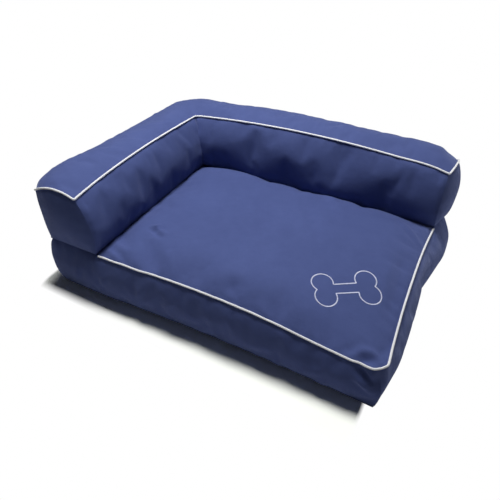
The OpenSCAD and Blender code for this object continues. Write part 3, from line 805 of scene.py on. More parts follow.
# Folds of the seat by their place on it, and of the front by their place across and up the
# bed: the line they follow, in millimetres, their width and their height.
SEAT_FOLDS = [
    ([(-201, -176), (-181, -179), (-174, -162)], 7, 4.6),
    ([(-188, -172), (-162, -187), (-140, -192)], 7, 5.0),
    ([(326, -306), (337, -284), (353, -272), (372, -269), (394, -284)], 9, 7.0),
    ([(316, 116), (343, 103), (371, 82), (392, 60)], 7, 2.9),
    ([(40, 40), (62, -4), (84, -34), (112, -78)], 15, 3.2),
    ([(118, 150), (140, 128), (168, 100), (205, 46)], 14, 3.5),
    ([(-28, 60), (0, 5), (32, -37), (68, -97)], 16, -2.3),
    ([(81, 91), (134, 13), (178, -60)], 18, -2.6),
    ([(-258, -272), (-228, -288), (-190, -296)], 8, 3.8),
    ([(-256, -240), (-222, -262), (-186, -272)], 8, 3.2),
    ([(-172, -214), (-140, -252), (-108, -290)], 20, -5.8),
    ([(-108, -228), (-92, -262), (-84, -292)], 14, 4.2),
    ([(48, -290), (64, -256), (92, -272)], 18, -5.8),
    ([(128, -268), (150, -284), (174, -292)], 10, 2.6),
    ([(356, 20), (364, -60), (368, -120), (374, -210)], 16, -2.9),
]
FRONT_FOLDS = [
    ([(346, 108), (364, 96), (386, 78)], 7, -6.5),
    ([(348, 88), (370, 74), (390, 52)], 8, 4.0),
    ([(-158, 60), (-142, 84), (-122, 112)], 8, 2.8),
    ([(-78, 58), (-66, 80), (-44, 98)], 9, 2.6),
    ([(-262, 52), (-244, 76), (-236, 100)], 8, 2.4),
    ([(-336, 50), (-318, 76), (-312, 104)], 9, 2.6),
    ([(-30, 34), (14, 52), (40, 84)], 12, -2.6),
    ([(120, 40), (150, 62), (196, 78)], 12, 2.2),
    ([(238, 46), (262, 74), (300, 88)], 11, -2.4),
]
FRONT_Y = -290


def fold_height(x, y, line, width, height):
    """A fold: a ridge along a line with a shallow trough on one side, fading at its ends."""
    line = np.array(line, float)
    t = np.linspace(0, len(line) - 1, FOLD_STOPS)
    line = np.stack([np.interp(t, range(len(line)), line[:, n]) for n in (0, 1)], axis=1)
    for _ in range(FOLD_SMOOTHING):
        line[1:-1] = (line[:-2] + 2 * line[1:-1] + line[2:]) / 4
    away_x, away_y = x[:, None] - line[None, :, 0], y[:, None] - line[None, :, 1]
    distance = np.hypot(away_x, away_y)
    near = distance.argmin(1)
    rows = np.arange(len(x))
    heading = np.gradient(line, axis=0)[near]
    side = np.sign(heading[:, 0] * away_y[rows, near] - heading[:, 1] * away_x[rows, near])
    d = distance[rows, near] * side
    fade = arch(near / (len(line) - 1), 2)
    trough = TROUGH_SHARE * hump(d + TROUGH_AWAY * width, width)
    return height * fade * (hump(d, width) - trough)


def press_folds(there, folds, across, moved, way):
    """Moves the chosen points of the mattress along one axis, by folds seen along it."""
    points = coords(mattress.data)
    a, b = (points[there, n] / MM for n in across)
    for line, width, height in folds:
        points[there, moved] += way * fold_height(a, b, line, width, height) * MM
    set_coords(mattress.data, points)


def seam_distance(points, seam):
    tree = KDTree(len(seam))
    for index, point in enumerate(seam):
        tree.insert(point, index)
    tree.balance()
    found = [tree.find(point)[1:] for point in points]
    return np.array([f[0] for f in found]), np.array([f[1] for f in found]) / MM


def ripples(points, size):
    """Random gathers of one size, the same for all cloth beside one point of a seam."""
    return np.array([noise.noise(Vector(p) / (size * MM)) for p in points])


def dress_cloth(piece, held_panels, slot, strength):
    mesh = piece.data
    points = coords(mesh)
    quads, _, _ = quads_of(mesh)
    met = seam_points(mesh)
    seam = np.flatnonzero(met.sum(1) > 1)
    nearest, away = seam_distance(points, points[seam])
    large = LARGE_SHARE * ripples(points[seam] + 1, LARGE_GATHER)
    gathers = ripples(points[seam], SMALL_GATHER) + large
    lively = strength(points / MM)
    held = met[:, held_panels].any(1) & (met.sum(1) == 1)
    beside = clamp01(away / FLAT_MM) * np.exp(-away / GATHER_REACH_MM)
    out = GATHER_MM * lively * gathers[nearest] * beside - DIP_MM * hump(away, DIP_WIDTH_MM)
    out[held | met[:, slot]] = 0
    out[met[:, held_panels].any(1) & (met.sum(1) > 1)] *= HELD_SHARE
    set_coords(mesh, points + point_normals(points, quads) * (out * MM)[:, None])


def point_normals(points, quads):
    a, b, c, d = (points[quads[:, n]] for n in range(4))
    flat = np.cross(c - a, d - b)
    total = np.zeros_like(points)
    for n in range(4):
        np.add.at(total, quads[:, n], flat)
    return unit(total)


def mattress_gathers(p):
    """Livelier on the lower part of the sides."""
    return HIGH_GATHERS + MORE_LOW * (p[:, 2] < LOW_Z)


def bolster_gathers(p):
    """Livelier along the arm's outer top seam, and calmer high up at the rear."""
    puckered = hump(p[:, 2] - PUCKER_Z, PUCKER_WIDTH) * (p[:, 0] < PUCKER_X)
    calm = ease((p[:, 1] - CALM_Y) / CALM_Y_FADE) * ease((p[:, 2] - CALM_Z) / CALM_Z_FADE)
    return BOLSTER_GATHERS + PUCKERS * puckered - CALMER * calm


dress_cloth(mattress, [BOTTOM], BASE_SLOT, mattress_gathers)
dress_cloth(bolster, [UNDER], BACK_SLOT, bolster_gathers)
met = seam_points(mattress.data)
alone = met.sum(1) == 1
in_front = coords(mattress.data)[:, 1] < FRONT_Y * MM
press_folds(met[:, SEAT] & alone, SEAT_FOLDS, (0, 1), 2, 1)
press_folds(met[:, BOXING] & alone & in_front, FRONT_FOLDS, (0, 2), 1, -1)
print("folds on the seat:", len(SEAT_FOLDS), "and on the front:", len(FRONT_FOLDS))

# %% [markdown]
# Each panel becomes a thin closed shell of its own: an outer sheet, an inner sheet one cloth
# thickness below it, and a rim. Where two panels meet, their rims lie on one mitre plane.


# %% Cutting the panels
SEAM_GAP_MM, PANEL_ANGLE = 0.01, 42


def cut_panel(cushion, number, name):
    """One panel of the cushion as a closed shell, cut off a hair short of its seams."""
    mesh = cushion.data
    quads, panels, grain = quads_of(mesh)
    points = coords(mesh)
    shared = point_normals(points, quads)
    chosen = panels == number
    quads, grain = quads[chosen], grain[chosen]
    used, quads = np.unique(quads, return_inverse=True)
    quads = quads.reshape(-1, 4)
    points, shared = points[used], shared[used]
    own = point_normals(points, quads)
    ends = np.roll(quads, -1, axis=1)
    edges = np.stack([quads.ravel(), ends.ravel()], axis=1)
    known = set(map(tuple, edges.tolist()))
    rim = np.array([(b, a) not in known for a, b in edges.tolist()])
    rim_edges = edges[rim]
    on_rim = np.zeros(len(points), bool)
    on_rim[rim_edges] = True
    # The rim's points step back from the seam, in the panel's own plane.
    inner_way = np.zeros_like(points)
    for a, b in ((0, 1), (1, 0)):
        inward = np.cross(own[rim_edges[:, a]], points[rim_edges[:, 1]] - points[rim_edges[:, 0]])
        np.add.at(inner_way, rim_edges[:, a], unit(inward))
    outer = points + unit(inner_way) * SEAM_GAP_MM * MM
    lean = np.clip((shared * own).sum(1), 0.5, 1)
    inner = outer - shared * (CLOTH_T * MM / lean)[:, None]
    count = len(points)
    faces = quads.tolist()
    faces += (quads[:, ::-1] + count).tolist()
    faces += [[b, a, a + count, b + count] for a, b in rim_edges.tolist()]
    flat_grain = grain.reshape(-1, 2)
    ahead = np.roll(np.arange(4 * len(quads)).reshape(-1, 4), -1, 1).ravel()[rim]
    rim_grain = np.stack([flat_grain[ahead], flat_grain[rim], flat_grain[rim],
                          flat_grain[ahead]], axis=1).reshape(-1, 2)
    all_grain = np.concatenate([flat_grain, grain[:, ::-1].reshape(-1, 2), rim_grain])
    shell = new_piece(name, np.concatenate([outer, inner]).tolist(), faces, all_grain)
    return smoothed(shell, PANEL_ANGLE)


PANELS = [
    (mattress, SEAT, "seat_panel", "base_seat_panel"),
    (mattress, BOXING, "boxing", "base_boxing"),
    (mattress, BACK_UPPER, "mattress_back_upper", "base_back_upper"),
    (mattress, BACK_LOWER, "mattress_back_lower", "base_back_lower"),
    (mattress, BOTTOM, "bottom_cloth", "base_bottom_panel"),
    (bolster, TOP, "top_panel", "bolster_top_panel"),
    (bolster, UNDER, "under_panel", "bolster_under_panel"),
    (bolster, ARM_INNER, "arm_inner", "arm_inner_panel"),
    (bolster, BACK_INNER, "back_inner", "back_inner_panel"),
    (bolster, ARM_OUTER, "arm_outer", "arm_outer_panel"),
    (bolster, OUTER_UPPER, "back_upper", "back_outer_upper"),
    (bolster, OUTER_LOWER, "back_lower", "back_outer_lower"),
    (bolster, OUTER_SIDE, "back_side", "back_outer_side"),
    (bolster, ARM_END, "arm_end", "arm_end_panel"),
    (bolster, BACK_END, "back_end", "back_end_panel"),
]
cover = {}
for cushion, number, name, node in PANELS:
    piece = cut_panel(cushion, number, name)
    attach(piece, "root")
    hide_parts(node)
    cover[name] = piece
print("panels:", ", ".join(f"{n} {len(p.data.polygons)}" for n, p in cover.items()))

# %% [markdown]
# ## Piping
# A cotton cord in a bias-cut strip is sewn between two panels. It is a swept tube: rings of
# points along the seam, each square to it, with the cloth's small unevenness in its width.


# %% Piping along the seams
def seam_line(piece, one_side, other_side, start):
    """The points of a seam in order, from the end nearest to start, and their normals."""
    mesh = piece.data
    quads, panels, _ = quads_of(mesh)
    owner = {}
    for n in range(4):
        for a, b, panel in zip(quads[:, n], quads[:, (n + 1) % 4], panels):
            owner.setdefault((min(a, b), max(a, b)), []).append(panel)
    links = {}
    for (a, b), sides in owner.items():
        if set(sides) & set(one_side) and set(sides) & set(other_side):
            links.setdefault(a, []).append(b)
            links.setdefault(b, []).append(a)
    points = coords(mesh)
    ends = [p for p, to in links.items() if len(to) == 1] or list(links)
    here = min(ends, key=lambda p: np.linalg.norm(points[p] - np.array(start) * MM))
    order, before = [here], None
    while True:
        onward = [p for p in links[here] if p != before and p != order[0]]
        if not onward:
            break
        before, here = here, onward[0]
        order.append(here)
    return points[order], point_normals(points, quads)[order]


def sweep(name, path, radius, sides=14, ripple=0.0, flat=1.0, seed=1, closed=False):
    """A tube along a path, in metres, closed by a domed cap at each end."""
    path = np.array(path, float)
    count = len(path)
    heading = unit(headings(path, closed))
    side = unit(np.cross(heading, [0, 0, 1]))
    up = np.cross(side, heading)
    rng = np.random.default_rng(seed)
    width = radius * (1 + ripple * rng.uniform(-1, 1, count))
    turns = 2 * math.pi * np.arange(sides) / sides
    run = distances(path)
    caps = () if closed else (0.35, 0.8)
    rings = [(path[0] - heading[0] * radius * (1 - share), 0, share) for share in caps]
    rings += [(path[n], n, 1) for n in range(count)]
    rings += [(path[-1] + heading[-1] * radius * (1 - share), count - 1, share)
              for share in reversed(caps)]
    lengths = [run[n] for _, n, _ in rings]
    points = np.array([
        at + (side[n] * math.cos(t) + up[n] * math.sin(t) * flat) * (width[n] * share)
        for at, n, share in rings for t in turns
    ])
    faces, grain = [], []
    total, around = len(rings), 2 * math.pi * radius
    for r in range(total if closed else total - 1):
        n = (r + 1) % total
        far = run[-1] if n == 0 else lengths[n]
        for k in range(sides):
            m = (k + 1) % sides
            faces.append([r * sides + k, n * sides + k, n * sides + m, r * sides + m])
            a, b = k / sides, (k + 1) / sides
            grain += [(lengths[r], a * around), (far, a * around), (far, b * around),
                      (lengths[r], b * around)]
    if not closed:
        faces.append(list(range(sides)))
        faces.append([(total - 1) * sides + k for k in reversed(range(sides))])
        grain += [(0, 0)] * (2 * sides)
    return smoothed(new_piece(name, points.tolist(), faces, grain), 50, outward=True)


PIPING_SIT, PIPING_STEP, NEAR_EDGE, FOOT_GAP = PIPING_D / 2 + 0.35, 3.2, 40, 3


def resampled(path, step):
    lengths = distances(path)
    count = max(2, int(round(lengths[-1] / step)))
    t = np.linspace(0, lengths[-1], count + 1)
    return np.stack([np.interp(t, lengths, path[:, n]) for n in range(3)], axis=1)


def piping(name, line, normals, node):
    path = resampled(line + normals * PIPING_SIT * MM, PIPING_STEP * MM)[1:-1]
    tube = sweep(name, path, PIPING_D / 2 * MM, ripple=0.018, seed=len(path))
    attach(tube, "root")
    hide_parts(node)
    return tube


line, normals = seam_line(mattress, [SEAT], [BOXING, BACK_UPPER], (0, HALF_D, BASE_H))
x, y = line[:, 0] / MM, line[:, 1] / MM
front = (y < -HALF_D + NEAR_EDGE) & (x > ARM_FOOT_X + FOOT_GAP)
right = (x > HALF_W - NEAR_EDGE) & (y < BACK_FOOT_Y - FOOT_GAP)
open_edge = front | right
first = np.flatnonzero(open_edge)
gaps = np.flatnonzero(np.diff(first) > 1)
if len(gaps):
    first = np.concatenate([first[gaps[0] + 1:], first[: gaps[0] + 1]])
base_piping = piping("mattress_piping", line[first], normals[first], "base_piping")
line, normals = seam_line(
    bolster, [TOP], [ARM_END, ARM_INNER, BACK_INNER, BACK_END], (-HALF_W, -HALF_D, EDGE_Z))
bolster_piping = piping("bolster_piping_cord", line, normals, "bolster_piping")
print("piping:", len(base_piping.data.vertices), "and", len(bolster_piping.data.vertices))

# %% [markdown]
# ## Stuffing
# Under the cover lie a foam slab, a wadding that crowns the seat, and loose fibre in the arm
# and the back. They show only when the zips are open, but they are what makes the bed soft.
# Each keeps a few millimetres inside the cover, so that no fold of the cloth touches it.

# %% Foam slab and wadding
CORE_INSET, WADDING_EDGE, LAYER_GAP, CORE_LIFT, CORE_GAP = 5.5, 16, 0.4, 2.2, 2.6


def core_side(x, y, share):
    return side_point(x, y, share, CORE_INSET, CORE_INSET, CORE_LIFT)


def core_level(share_of):
    """A level layer across the mattress, which meets the sides at their own height."""
    grid_x, grid_y = base_grid
    px, py = plan(grid_x, grid_y, CORE_INSET)
    high = BASE_H - sag(grid_x, grid_y) - CORE_INSET
    z = mix(high, FLOOR_GAP + CORE_LIFT, share_of(grid_x, grid_y))
    layer = np.stack([px, py, z], axis=2)
    edge = np.ones(px.shape, bool)
    edge[1:-1, 1:-1] = False
    ex, ey = grid_x[edge], grid_y[edge]
    layer[edge] = core_side(ex, ey, share_of(ex, ey))
    return layer


def core_block(name, upper, lower, top, rows):
    """A closed block between two shares of the mattress's sides."""
    run = sum(edges_in_order(), [])
    x, y = (np.array([p[n] for p in run])[:, None] for n in (0, 1))
    shares = mix(upper(x, y), lower(x, y), np.linspace(0, 1, rows)[None, :])
    wall = core_side(x, y, shares)
    return cushion_mesh(name, [(0, top, True), (0, core_level(lower), False), (0, wall, False)])


def seam_share(x, y):
    return 0 * x


def wadding_share(x, y):
    return WADDING_EDGE / (BASE_H - sag(x, y) - CORE_INSET - FLOOR_GAP)


def slab_share(x, y):
    return wadding_share(x, y) + LAYER_GAP / BASE_H


def floor_share(x, y):
    return 0 * x + 1


def surface_of(piece):
    return BVHTree.FromPolygons([v.co for v in piece.data.vertices],
                                [p.vertices for p in piece.data.polygons])


def tuck_inside(piece, cushion, gap, spared=lambda points: np.zeros(len(points), bool)):
    """Moves the points of a filling that come too near the cover back under it."""
    shell = surface_of(cushion)
    points = coords(piece.data)
    for n in np.flatnonzero(~spared(points)).tolist() * 3:
        at, normal, _, _ = shell.find_nearest(Vector(points[n]))
        depth = (at - Vector(points[n])).dot(normal)
        if depth < gap * MM:
            points[n] += np.array(normal) * (depth - gap * MM)
    set_coords(piece.data, points)


wadding_top = np.stack([*plan(*base_grid, CORE_INSET), top_height(*base_grid) - CORE_INSET],
                       axis=2)
wadding = core_block("wadding", seam_share, wadding_share, wadding_top, 3)
foam = core_block("foam_slab", slab_share, floor_share, core_level(slab_share), 12)
for piece, node, slot, fill in ((foam, "base_foam", "foam", 1.0),
                                (wadding, "base_wadding", "fibre", 0.6)):
    tuck_inside(piece, mattress, CORE_GAP)
    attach(piece, "root")
    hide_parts(node)
print("stuffing:", len(foam.data.polygons), "and", len(wadding.data.polygons), "faces")

# %% Fibre filling of the arm and the back
MITRE_GAP, VOXEL, FIBRE_GAP, CORNER_REACH, CORNER_PUSH = 0.4, 5, 3.0, 34, (-12, 12, 0)


def from_corner(points):
    """How far points are from the inner corner, seen from above, in millimetres."""
    return np.hypot(points[:, 0] / MM - FOOT_LINE[0], points[:, 1] / MM - FOOT_LINE[1])


def fibre_filling(name, keep_arm):
    """The bolster's own form, shrunk a little and cut on the mitre between arm and back."""
    piece = cushion_mesh(name, bolster_patches())
    mesh = piece.data
    quads, _, _ = quads_of(mesh)
    points = coords(mesh)
    points -= point_normals(points, quads) * CORE_INSET * MM
    points += hump(from_corner(points), CORNER_REACH)[:, None] * np.array(CORNER_PUSH) * MM
    set_coords(mesh, points)
    choose(piece)
    mesh.remesh_voxel_size = VOXEL * MM
    bpy.ops.object.voxel_remesh()
    tuck_inside(piece, bolster, FIBRE_GAP, lambda points: from_corner(points) < CORNER_REACH)
    k = np.array([float(MITRE)])
    a = under_point(k, np.array([0.0]))[0] * MM
    b = under_point(k, np.array([1.0]))[0] * MM
    across = Vector((a[0] - b[0], a[1] - b[1], 0)).normalized()
    normal = Vector((-across.y, across.x, 0))
    if (normal.x > 0) == keep_arm:
        normal.negate()
    at = Vector((a[0], a[1], a[2])) + normal * MITRE_GAP / 2 * MM
    bpy.ops.object.mode_set(mode="EDIT")
    bpy.ops.mesh.select_all(action="SELECT")
    bpy.ops.mesh.bisect(plane_co=at, plane_no=normal, use_fill=True, clear_inner=True,
                        threshold=1e-7)
    bpy.ops.object.mode_set(mode="OBJECT")
    smoothed(piece, 50)
    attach(piece, "root")
    return piece


arm_fibre = fibre_filling("arm_fibre", True)
back_fibre = fibre_filling("back_fibre", False)
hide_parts("arm_filling")
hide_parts("back_filling")
print("fibre:", len(arm_fibre.data.polygons), "and", len(back_fibre.data.polygons), "faces")

# %% [markdown]
# ## Embroidery
# The bone on the seat is a line of satin stitches: short bright threads laid side by side
# across the line. The outline is a plain geometric bone, and the stitches follow the cloth.

# %% Embroidered bone
BONE_L, KNUCKLE_SHARE, APART_SHARE, NECK_SHARE, THREAD_W = 138, 0.165, 0.125, 0.08, 2.9
BONE_AT, BONE_TURN = (0.69 * HALF_W, -0.53 * HALF_D), math.radians(34)
STITCH_STEP = 0.62
SATIN_W, SATIN_H, SATIN_SIT, SATIN_SLANT = 0.5, 0.42, 0.2, 0.35
BED_SIT, BED_SHARE, BED_FLAT = 0.25, 0.42, 0.3


def bone_outline():
    knuckle, apart = BONE_L * KNUCKLE_SHARE, BONE_L * APART_SHARE
    notch = math.asin(apart / knuckle)
    neck = math.pi + math.asin((apart - BONE_L * NECK_SHARE) / knuckle)
    turns = np.linspace(neck, -notch, 24)
    quarter = np.stack([BONE_L / 2 - knuckle + knuckle * np.cos(turns),
                        apart + knuckle * np.sin(turns)], axis=1)
    half = np.concatenate([quarter, quarter[-2::-1] * [1, -1]])
    outline = np.concatenate([half, -half, half[:1]])
    c, t = math.cos(BONE_TURN), math.sin(BONE_TURN)
    return outline @ np.array([[c, t], [-t, c]]) + BONE_AT


def laid_on(piece, places, way=(0, 0, -1)):
    """Points of a piece's surface under the given places, and its normals there."""
    tree, way = surface_of(piece), Vector(way)
    hits = [tree.ray_cast(Vector(p) - way / 2, way) for p in places]
    return np.array([h[0] for h in hits]), np.array([h[1] for h in hits])


flat_bone = np.pad(bone_outline() * MM, ((0, 0), (0, 1)), constant_values=BASE_H * MM)
outline = resampled(flat_bone, STITCH_STEP * MM)[:-1]
ground, ground_normal = laid_on(cover["seat_panel"], outline)
bed = sweep("embroidered_bone_line", (ground + ground_normal * BED_SIT * MM)[::4],
            THREAD_W * BED_SHARE * MM, sides=8, flat=BED_FLAT, closed=True)


def ring_faces(rings, sides):
    """The faces between rings of points, and one at each end."""
    faces = [[r * sides + k, r * sides + (k + 1) % sides, (r + 1) * sides + (k + 1) % sides,
              (r + 1) * sides + k] for r in range(rings - 1) for k in range(sides)]
    return faces + [list(reversed(range(sides))), [(rings - 1) * sides + k for k in range(sides)]]


def stitch_shape(long, wide, high, steps=5, sides=6):
    """One short thread that arches over the line: rings of points, closed at both ends."""
    points = []
    for t in np.linspace(-1, 1, steps):
        lift = high * (1 - abs(t) ** 2.4)
        r = wide / 2 * (1 - 0.45 * abs(t) ** 3)
        for k in range(sides):
            turn = 2 * math.pi * k / sides
            points.append((r * math.cos(turn), t * long / 2, lift + r * math.sin(turn)))
    return np.array(points), ring_faces(steps, sides)


def copies(name, shape, frames):
    """One mesh of many copies of a small shape, each in its own frame of three axes."""
    points, faces = shape
    count = len(points)
    every = [at + points @ np.array(axes) for at, axes in frames]
    all_faces = [[n * count + v for v in face] for n in range(len(frames)) for face in faces]
    piece = new_piece(name, np.concatenate(every).tolist(), all_faces)
    return smoothed(piece, 180, outward=True)


def frames_along(points, normals, slant=0.0, closed=True):
    frames = []
    for at, ahead, up in zip(points, headings(points, closed), normals):
        ahead = ahead - up * (ahead @ up)
        ahead /= np.linalg.norm(ahead)
        side = np.cross(up, ahead)
        turned = side + ahead * slant
        turned /= np.linalg.norm(turned)
        frames.append((at, [np.cross(turned, up), turned, up]))
    return frames


bone = copies("embroidered_bone_stitches",
              stitch_shape(THREAD_W * MM, SATIN_W * MM, SATIN_H * MM),
              frames_along(ground + ground_normal * SATIN_SIT * MM, ground_normal,
                           slant=SATIN_SLANT))
for piece in (bed, bone):
    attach(piece, "root")
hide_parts("embroidered_bone")
print("stitches:", len(ground))

# %% [markdown]
# ## Zips
# Each zip is a coil of nylon between two woven tapes, with a metal stop at both ends. The
# slider and the pull tab are cast metal: they are modelled once and copied for both zips. Each
# part is edited in its own place, with the zip's line along X and its face towards +Y.

# %% Editing boxes and cylinders
def begin(primitive, **settings):
    """Starts a piece with a primitive, or adds one to the piece that is being edited."""
    fresh = bpy.context.mode == "OBJECT"
    if fresh:
        bpy.ops.object.select_all(action="DESELECT")
    primitive(**settings)
    if fresh:
        bpy.ops.object.mode_set(mode="EDIT")


def box(low, high):
    low, high = Vector(low) * MM, Vector(high) * MM
    begin(bpy.ops.mesh.primitive_cube_add, size=1)
    bpy.ops.transform.resize(value=high - low)
    bpy.ops.transform.translate(value=(low + high) / 2)


def rod(at, radius, length):
    begin(bpy.ops.mesh.primitive_cylinder_add, vertices=24, radius=radius * MM,
          depth=length * MM)
    bpy.ops.transform.translate(value=Vector(at) * MM)


def pick(kind, test):
    """Selects the edges or faces whose corners all pass a test, in millimetres."""
    bpy.ops.mesh.select_mode(type=kind)
    bpy.ops.mesh.select_all(action="DESELECT")
    mesh = bmesh.from_edit_mesh(bpy.context.object.data)
    for part in mesh.edges if kind == "EDGE" else mesh.faces:
        if all(test(v.co / MM) for v in part.verts):
            part.select_set(True)
    bmesh.update_edit_mesh(bpy.context.object.data)


def inset(wide, deep=0.0):
    bpy.ops.mesh.inset(thickness=wide * MM, depth=deep * MM)


def bevel(wide, segments):
    bpy.ops.mesh.bevel(offset=wide * MM, segments=segments, affect="EDGES")


def on_side(side, near, far):
    """The two limits of a stretch on one side of the middle, the lower one first."""
    return sorted((near * side, far * side))


def done(name, soft):
    """Ends the editing: every sharp edge is softened, and the shading is smooth."""
    bpy.ops.mesh.select_all(action="SELECT")
    bpy.ops.mesh.normals_make_consistent(inside=False)
    bpy.ops.object.mode_set(mode="OBJECT")
    piece = bpy.context.object
    piece.name = piece.data.name = name
    edges = piece.modifiers.new("Soft edges", "BEVEL")
    edges.width, edges.segments, edges.angle_limit = soft * MM, 2, math.radians(40)
    bpy.ops.object.modifier_apply(modifier="Soft edges")
    return smoothed(piece, 40)


def placed(shape, name, at):
    """A copy of a shape with its own mesh, moved to its place in edit mode."""
    piece = shape.copy()
    piece.data = shape.data.copy()
    piece.name = piece.data.name = name
    scene.collection.objects.link(piece)
    choose(piece)
    bpy.ops.object.mode_set(mode="EDIT")
    bpy.ops.mesh.select_all(action="SELECT")
    bpy.ops.transform.translate(value=Vector(at) * MM)
    bpy.ops.object.mode_set(mode="OBJECT")
    piece.select_set(False)
    return piece


def moved(shape, name, at):
    piece = placed(shape, name, at)
    bpy.data.objects.remove(shape)
    return piece


print("tools for metal parts are ready")

# %% Slider and pull tab
HAIR = 0.05
PIN_Y, PIN_R, PIN_L = 4.75, 0.8, 7.6
SLIDER_BACK, SLIDER_FRONT, SLIDER_HALF_W = -6.5, 4.55, 4.35
PLATE_LOW, PLATE_TOP, NOSE_L, NOSE_SHARE = 1.55, 2.75, 1.95, 0.7
FLANGE_LOW, FLANGE_TOP, FLANGE_FROM = -1, 1.65, 3.25
LUG_HALF_L, LUG_LOW, LUG_TOP, LUG_FROM, LUG_TO, LUG_ROUND = 2, 2.3, 6.35, 2.55, 3.65, 1.7
EYE_R, EYE_WALL, EYE_HALF_W = 1.7, 0.65, 2.3
NECK_FROM, NECK_TO, NECK_HALF_T = 1.25, 5.5, 0.6
TAB_FROM, TAB_TO, TAB_HALF_W, TAB_HALF_T, TAB_ROUND, TAB_HEEL = 5, 30, 4, 0.5, 3, 1.5


def slider_shape():
    box((SLIDER_BACK, PLATE_LOW, -SLIDER_HALF_W), (SLIDER_FRONT, PLATE_TOP, SLIDER_HALF_W))
    pick("FACE", lambda p: p.x > SLIDER_FRONT - HAIR)
    bpy.ops.mesh.extrude_region_move(TRANSFORM_OT_translate={"value": (NOSE_L * MM, 0, 0)})
    bpy.ops.transform.resize(value=(1, 1, NOSE_SHARE))
    pick("FACE", lambda p: p.y > PLATE_TOP - HAIR)
    inset(0.9)
    inset(0.3, -0.25)
    for side in (-1, 1):
        low, high = on_side(side, FLANGE_FROM, SLIDER_HALF_W)
        box((SLIDER_BACK, FLANGE_LOW, low), (SLIDER_FRONT, FLANGE_TOP, high))
        low, high = on_side(side, LUG_FROM, LUG_TO)
        box((-LUG_HALF_L, LUG_LOW, low), (LUG_HALF_L, LUG_TOP, high))
    for way in (-1, 1):
        pick("EDGE", lambda p: p.y > LUG_TOP - HAIR and p.x * way > LUG_HALF_L - HAIR)
        bevel(LUG_ROUND, 5)
    rod((0, PIN_Y, 0), PIN_R, PIN_L)
    return done("slider_shape", 0.18)


def pull_shape():
    rod((0, PIN_Y, 0), EYE_R, 2 * EYE_HALF_W)
    pick("FACE", lambda p: abs(p.z) > EYE_HALF_W - HAIR)
    inset(EYE_WALL)
    bpy.ops.mesh.delete(type="FACE")
    bore = EYE_R - EYE_WALL + HAIR
    pick("EDGE", lambda p: abs(p.z) > EYE_HALF_W - HAIR and math.hypot(p.x, p.y - PIN_Y) < bore)
    bpy.ops.mesh.bridge_edge_loops()
    box((NECK_FROM, PIN_Y - NECK_HALF_T, -EYE_HALF_W), (NECK_TO, PIN_Y + NECK_HALF_T, EYE_HALF_W))
    box((TAB_FROM, PIN_Y - TAB_HALF_T, -TAB_HALF_W), (TAB_TO, PIN_Y + TAB_HALF_T, TAB_HALF_W))
    for side in (1, -1):
        pick("EDGE", lambda p: p.x > TAB_TO - HAIR and p.z * side > TAB_HALF_W - HAIR)
        bevel(TAB_ROUND, 6)
    for side in (-1, 1):
        pick("EDGE", lambda p: abs(p.x - TAB_FROM) < HAIR and p.z * side > TAB_HALF_W - HAIR)
        bevel(TAB_HEEL, 4)
    for side in (-1, 1):
        pick("FACE", lambda p: p.x > TAB_FROM - HAIR
             and abs((p.y - PIN_Y) * side - TAB_HALF_T) < HAIR)
        inset(0.35, 0.25)
        inset(0.9)
        inset(0.3, -0.3)
    return done("pull_shape", 0.15)


slider, pull = slider_shape(), pull_shape()
print("slider:", len(slider.data.polygons), "faces, pull tab:", len(pull.data.polygons))

# %% Tapes, coils, stops and stitches
TOOTH_PITCH, TOOTH_L, TOOTH_T, TOOTH_H, TOOTH_DEPTH, TOOTH_OUT = 1.4, 3.2, 1.2, 1.6, -0.95, 1.4
COIL_START, COIL_STOP, ROW_START, ROW_STOP = 0.8, 0.7, 2, 1
STITCH_L, STITCH_W, STITCH_H, STITCH_SIT = 2.6, 0.6, 0.3, 0.05
STITCH_GAP, STITCH_FROM_SLOT = 0.8, 2.6
TAPE_PAST, TAPE_BACK, TAPE_FRONT, TAPE_FROM, TAPE_TO = 9, -2.1, -1.3, 0.2, 6.4
TAPE_MORE, TAPE_LEAN = 7.8, 1.8
STOP_L, STOP_BACK, STOP_FRONT, STOP_HALF_W = 3, -1.3, 1.05, 3.5


def tapes(name, length, at):
    """Two tapes that run past the slot's ends. Their outer parts lean inwards."""
    half = length / 2 + TAPE_PAST
    for side in (-1, 1):
        low, high = on_side(side, TAPE_FROM, TAPE_TO)
        box((-half, TAPE_BACK, low), (half, TAPE_FRONT, high))
        pick("FACE", lambda p: p.z * side > TAPE_TO - HAIR)
        far_edge = Vector((0, -TAPE_LEAN, TAPE_MORE * side)) * MM
        bpy.ops.mesh.extrude_region_move(TRANSFORM_OT_translate={"value": far_edge})
    return moved(done(name + "_shape", 0.15), name, at)


def end_stops(name, length, at):
    for side in (-1, 1):
        low, high = on_side(side, length / 2, length / 2 + STOP_L)
        box((low, STOP_BACK, -STOP_HALF_W), (high, STOP_FRONT, STOP_HALF_W))
    pick("FACE", lambda p: p.y > STOP_FRONT - HAIR)
    bpy.ops.mesh.inset(thickness=0.5 * MM, depth=0.25 * MM, use_individual=True)
    return moved(done(name + "_shape", 0.2), name, at)


def coil(name, length, at):
    """Two rows of small arched threads that meet in the middle, half a step apart."""
    frames = []
    row = np.arange(-length / 2 + COIL_START, length / 2 - COIL_STOP, TOOTH_PITCH)
    for side in (-1, 1):
        for x in row + side * TOOTH_PITCH / 4:
            where = np.array([x, TOOTH_DEPTH, side * TOOTH_OUT]) + at
            frames.append((where * MM, [[1, 0, 0], [0, 0, 1], [0, 1, 0]]))
    return copies(name, stitch_shape(TOOTH_L * MM, TOOTH_T * MM, TOOTH_H * MM), frames)


